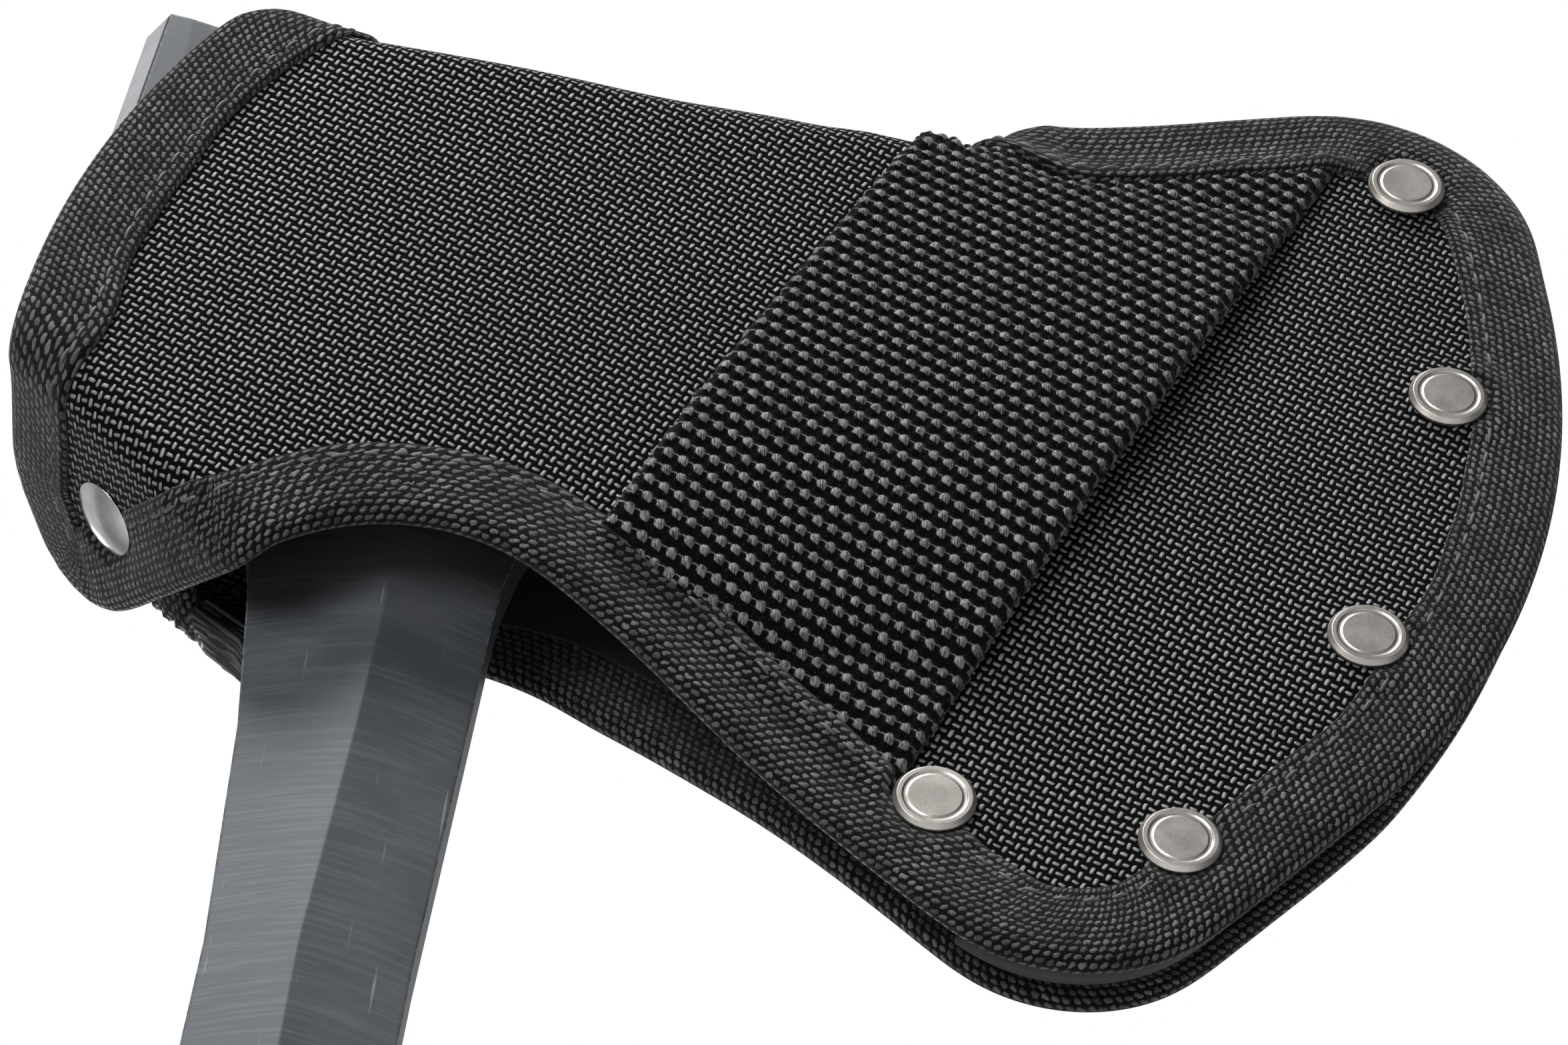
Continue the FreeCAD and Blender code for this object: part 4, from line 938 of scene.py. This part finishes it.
def edges(p, radius):
    """A value of 0 on flats and above 0 along sharp edges, and a rounded normal."""
    bevel = p.tree.nodes.new("ShaderNodeBevel")
    bevel.samples = 6
    bevel.inputs[0].default_value = radius * MM
    geometry = p.tree.nodes.new("ShaderNodeNewGeometry")
    dot = p.tree.nodes.new("ShaderNodeVectorMath")
    dot.operation = "DOT_PRODUCT"
    p.put(dot.inputs[0], bevel.outputs[0])
    p.put(dot.inputs[1], geometry.outputs["Normal"])
    return p.math("SUBTRACT", 1.0, dot.outputs["Value"]), bevel.outputs[0]


BIT_CENTRE, BEVEL_RADIUS = (0.035, 0.306), 0.0640  # x and z of the bit's circle, in metres
POLL_SLOPE, POLL_EDGE = 0.0717, -0.0601  # inner edge of the poll's chamfer: x = edge + slope * z


def forged_steel():
    """Dark coated steel with fine grinding lines, bare at the poll's face and the cutting bevel."""
    p = Paint("coated_steel")
    place = p.coordinates.outputs["Object"]
    x, y, z = p.split(place)
    bow = p.math("ADD", z, p.math("MULTIPLY", p.math("MULTIPLY", x, x), 9.0))
    lines = p.noise(p.stretch((x, y, bow), (90.0, 90.0, 2600.0)), 1.0, 3.0, 0.6)
    cloud = p.noise(place, 45.0, 4.0, 0.6)
    grain = p.noise(place, 2600.0, rough=0.6)
    sharp, rounded = edges(p, 0.5)
    speck = p.noise(place, 900.0, 3.0, 0.7)
    worn = p.math("MULTIPLY", p.step(sharp, 0.02, 0.22), p.step(speck, 0.36, 0.62))
    scratch = p.noise(p.stretch((x, y, z), (1500.0, 300.0, 60.0)), 1.0, 1.0)
    scuff = p.math("MULTIPLY", p.step(scratch, 0.71, 0.78), p.step(cloud, 0.45, 0.6))
    from_centre = [p.math("POWER", p.math("SUBTRACT", part, middle), 2.0)
                   for part, middle in zip((x, z), BIT_CENTRE)]
    radius = p.math("SQRT", p.math("ADD", *from_centre))
    bevel = p.math("MULTIPLY", p.step(radius, BEVEL_RADIUS, BEVEL_RADIUS + 0.0002),
                   p.step(x, 0.055, 0.057))
    from_poll = p.math("MULTIPLY_ADD", z, -POLL_SLOPE, x)
    face = p.math("MULTIPLY", p.step(from_poll, POLL_EDGE, POLL_EDGE - 0.0002),
                  p.step(z, 0.290, 0.291))
    bare = p.math("MAXIMUM", bevel, face)
    coat = p.mix(p.step(cloud, 0.3, 0.7), (0.030, 0.034, 0.038), (0.046, 0.050, 0.055))
    coat = p.mix(p.math("MULTIPLY", p.step(lines, 0.45, 0.65), 0.35), coat, (0.075, 0.080, 0.086))
    coat = p.mix(p.step(z, 0.296, 0.312, 0.0, 0.55), coat, (0.010, 0.011, 0.012))
    coat = p.mix(p.math("MAXIMUM", worn, p.math("MULTIPLY", scuff, 0.4)), coat,
                 (0.26, 0.27, 0.28))
    steel = p.mix(lines, (0.26, 0.26, 0.27), (0.42, 0.42, 0.43))
    rough = p.step(cloud, 0.3, 0.7, 0.50, 0.58)
    rough = p.math("MULTIPLY_ADD", lines, 0.08, rough)
    relief = p.math("ADD", p.math("MULTIPLY", lines, 0.9), p.math("MULTIPLY", grain, 0.5))
    p.set(Base_Color=p.mix(bare, coat, steel), Metallic=p.step(bare, 0, 1, 0.62, 1.0),
          Roughness=rough, Normal=p.bump(relief, 0.012, 0.7, rounded))
    return p.material


def nickel(name, rough, colour):
    """Satin nickel: fine speckle, small dings and a rounded rim."""
    p = Paint(name)
    place = p.coordinates.outputs["Object"]
    grain = p.noise(place, 5200.0, 3.0, 0.7)
    cloud = p.noise(place, 260.0, 3.0, 0.6)
    _sharp, rounded = edges(p, 0.12)
    tint = tuple(c * 0.72 for c in colour)
    p.set(Base_Color=p.mix(p.step(cloud, 0.3, 0.7), tint, colour), Metallic=1.0,
          Roughness=p.math("MULTIPLY_ADD", grain, 0.16, rough),
          Normal=p.bump(p.math("ADD", grain, cloud), 0.010, 0.8, rounded))
    return p.material


def leather():
    """Stacked leather: a tone per layer, fibres lying along the layers, and pores."""
    p = Paint("grip_leather")
    place = p.coordinates.outputs["Object"]
    x, y, z = p.split(place)
    layer = p.white(p.vector(p.math("FLOOR", p.math("MULTIPLY", z, 240.0)), 1.0))
    pores = p.noise(place, 900.0, 4.0, 0.65)
    cloud = p.noise(place, 60.0, 4.0, 0.6)
    fibre = p.noise(p.stretch((x, y, z), (120.0, 120.0, 2400.0)), 1.0, 3.0)
    base = p.mix(p.step(cloud, 0.3, 0.7), (0.085, 0.036, 0.015), (0.19, 0.088, 0.038))
    base = p.mix(p.math("MULTIPLY", layer, 0.5), base, (0.10, 0.045, 0.02))
    base = p.mix(p.step(fibre, 0.5, 0.75, 0.0, 0.35), base, (0.04, 0.018, 0.009))
    p.set(Base_Color=base, Roughness=p.step(pores, 0.3, 0.7, 0.34, 0.5), Coat_Weight=0.25,
          Coat_Roughness=0.25,
          Normal=p.bump(p.math("ADD", pores, p.math("MULTIPLY", fibre, 0.6)), 0.06, 0.8))
    return p.material


def board(name, dark, light, rough):
    """Stiff fibre or moulded board with a faint grain."""
    p = Paint(name)
    place = p.coordinates.outputs["Object"]
    grain = p.noise(place, 1400.0, 4.0, 0.6)
    p.set(Base_Color=p.mix(grain, dark, light), Roughness=rough,
          Normal=p.bump(grain, 0.05, 0.6))
    return p.material


NYLON, TAPE_CLOTH, WEB_CLOTH, THREAD = nylon(), tape_cloth(), web_cloth(), thread()
STEEL = forged_steel()
NICKEL = nickel("satin_nickel", 0.30, (0.36, 0.335, 0.31))
POLISHED = nickel("polished_nickel", 0.12, (0.62, 0.60, 0.585))
LEATHER = leather()
BOARD = board("liner_board", (0.004, 0.004, 0.004), (0.012, 0.012, 0.012), 0.7)
FIBRE = board("vulcanised_fibre", (0.010, 0.009, 0.009), (0.035, 0.030, 0.028), 0.45)


def dress_side(label, side, rim, depth, seed):
    """Panel, binding and stitches of one side of the sheath."""
    flap = f"{label}_flap"

    def add(name, verts, faces, uvs, material, slot, *nodes):
        if side > 0:
            verts, faces = mirror_y(verts, faces)
        item = to_object(name, verts, faces, uvs, material)
        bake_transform(item)
        if nodes:
            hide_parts(*nodes)

    verts, faces, uvs = panel_mesh(rim, depth)
    panel_nodes = [flap] + (["outer_cover"] if side < 0 else [])
    add(f"{label}_panel", verts, faces, uvs, NYLON, "ballistic_nylon", *panel_nodes)
    verts, faces, uvs = tape_mesh(rim, depth, seed)
    tape_nodes = [f"{label}_binding", f"{label}_flap_binding"]
    tape_nodes += ["mouth_binding"] if side < 0 else []
    add(f"{label}_tape", verts, faces, uvs, TAPE_CLOTH, "binding_tape", *tape_nodes)
    verts, faces = rim_stitches(rim, depth, 8.6, seed)
    add(f"{label}_stitches", verts, faces, None, THREAD, "binding_tape")


dress_side("front", -1, FRONT_RIM, 0.0, 11)
dress_side("rear", 1, REAR_RIM, REAR_DEPTH, 23)


def rigid_piece(name, mesh, material, body, node):
    """Piece that rides one body and stands for one CAD node."""
    item = to_object(name, *mesh, material)
    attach(item, body)
    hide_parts(node)


rigid_piece("belt_webbing", webbing_mesh(), WEB_CLOTH, "sheath", "belt_loop")
rigid_piece("guard_welt", welt_mesh(), BOARD, "sheath", "edge_welt")
rigid_piece("leather_grip", grip_mesh(), LEATHER, "hatchet", "leather_washers")

# ------------------------------------------------------------------ CAD nodes that stay
for material, names in (
        (BOARD, ("front_liner", "rear_liner")),
        (NICKEL, ("rivet_caps", "rivet_backs", "butt_pins")),
        (POLISHED, ("snap_cap", "snap_socket", "snap_stud", "snap_post")),
        (STEEL, ("axe_forging", "grip_collar", "butt_cap")),
        (FIBRE, ("front_spacers", "rear_spacers"))):
    for name in names:
        mesh = NODES[name].data
        mesh.materials.clear()
        mesh.materials.append(material)

# ------------------------------------------------------------------ camera, light and floor
AIM = Vector((0.043, 0.0, 0.288))
BEARING, CLIMB, ROLL = math.radians(-1.0), math.radians(44.0), math.radians(7.6)
forward = Vector((math.sin(BEARING) * math.cos(CLIMB), math.cos(BEARING) * math.cos(CLIMB),
                  math.sin(CLIMB)))
level = Vector((math.cos(BEARING), -math.sin(BEARING), 0.0))
above = level.cross(forward)
right = level * math.cos(ROLL) + above * math.sin(ROLL)
upward = above * math.cos(ROLL) - level * math.sin(ROLL)
camera_data = bpy.data.cameras.new("camera")
camera_data.sensor_width = 36.0
camera_data.lens = 144.9
camera_data.clip_start = 0.01
DISTANCE = 0.7
camera = bpy.data.objects.new("camera", camera_data)
bpy.context.scene.collection.objects.link(camera)
camera.matrix_world = Matrix((
    (right.x, upward.x, -forward.x, AIM.x - forward.x * DISTANCE),
    (right.y, upward.y, -forward.y, AIM.y - forward.y * DISTANCE),
    (right.z, upward.z, -forward.z, AIM.z - forward.z * DISTANCE),
    (0, 0, 0, 1)))
bpy.context.scene.camera = camera


def softbox(name, offset, size, power):
    """Square light at an offset from the point that the camera aims at, turned towards it."""
    data = bpy.data.lights.new(name, "AREA")
    data.shape = "RECTANGLE"
    data.size = data.size_y = size
    data.energy = power
    item = bpy.data.objects.new(name, data)
    item.location = AIM + Vector(offset)
    item.rotation_euler = (AIM - item.location).to_track_quat("-Z", "Y").to_euler()
    bpy.context.scene.collection.objects.link(item)


softbox("key", (-0.30, -0.45, 0.84), 0.4, 17.0)
softbox("front", (-0.52, -0.86, -0.05), 0.5, 13.0)
softbox("low", (0.45, -0.8, -0.35), 0.5, 1.0)
softbox("back", (-0.25, 0.85, 0.55), 0.6, 10.0)
softbox("side", (0.9, 0.25, 0.2), 0.5, 3.0)

# The camera sees a white world. The light from it is weak in front and stronger from behind.
world = bpy.data.worlds.new("studio")
bpy.context.scene.world = world
world.use_nodes = True
nodes, links = world.node_tree.nodes, world.node_tree.links
shown = nodes.new("ShaderNodeBackground")
shown.inputs[0].default_value = (1, 1, 1, 1)
shown.inputs[1].default_value = 1.0
ambient = nodes["Background"]
ambient.inputs[0].default_value = (0.93, 0.96, 1.0, 1)
heading = nodes.new("ShaderNodeTexCoord")
axes = nodes.new("ShaderNodeSeparateXYZ")
behind = nodes.new("ShaderNodeMapRange")
for socket, value in zip(behind.inputs[1:5], (-0.1, 0.6, 0.14, 0.75)):
    socket.default_value = value
links.new(heading.outputs["Generated"], axes.inputs[0])
links.new(axes.outputs[1], behind.inputs[0])
links.new(behind.outputs[0], ambient.inputs[1])
path = nodes.new("ShaderNodeLightPath")
blender_mix = nodes.new("ShaderNodeMixShader")
links.new(path.outputs["Is Camera Ray"], blender_mix.inputs[0])
links.new(ambient.outputs[0], blender_mix.inputs[1])
links.new(shown.outputs[0], blender_mix.inputs[2])
links.new(blender_mix.outputs[0], nodes["World Output"].inputs[0])

FLOOR_HEIGHT, FLOOR_REACH = -0.45, 40.0
corners = [(-1, -1), (1, -1), (1, 1), (-1, 1)]
floor_mesh = bpy.data.meshes.new("floor")
floor_mesh.from_pydata([(x * FLOOR_REACH, y * FLOOR_REACH, FLOOR_HEIGHT) for x, y in corners],
                       [], [(0, 1, 2, 3)])
floor = bpy.data.objects.new("floor", floor_mesh)
bpy.context.scene.collection.objects.link(floor)
pale = Paint("pale_floor")
camera_ray = pale.tree.nodes.new("ShaderNodeLightPath").outputs["Is Camera Ray"]
pale.set(Base_Color=(0.86, 0.86, 0.86, 1), Roughness=0.8, Emission_Color=(1, 1, 1, 1),
         Emission_Strength=pale.math("MULTIPLY", camera_ray, 0.6))
floor_mesh.materials.append(pale.material)

scene = bpy.context.scene
scene.view_settings.view_transform = "Standard"
scene.view_settings.look = "None"

bpy.context.view_layer.update()
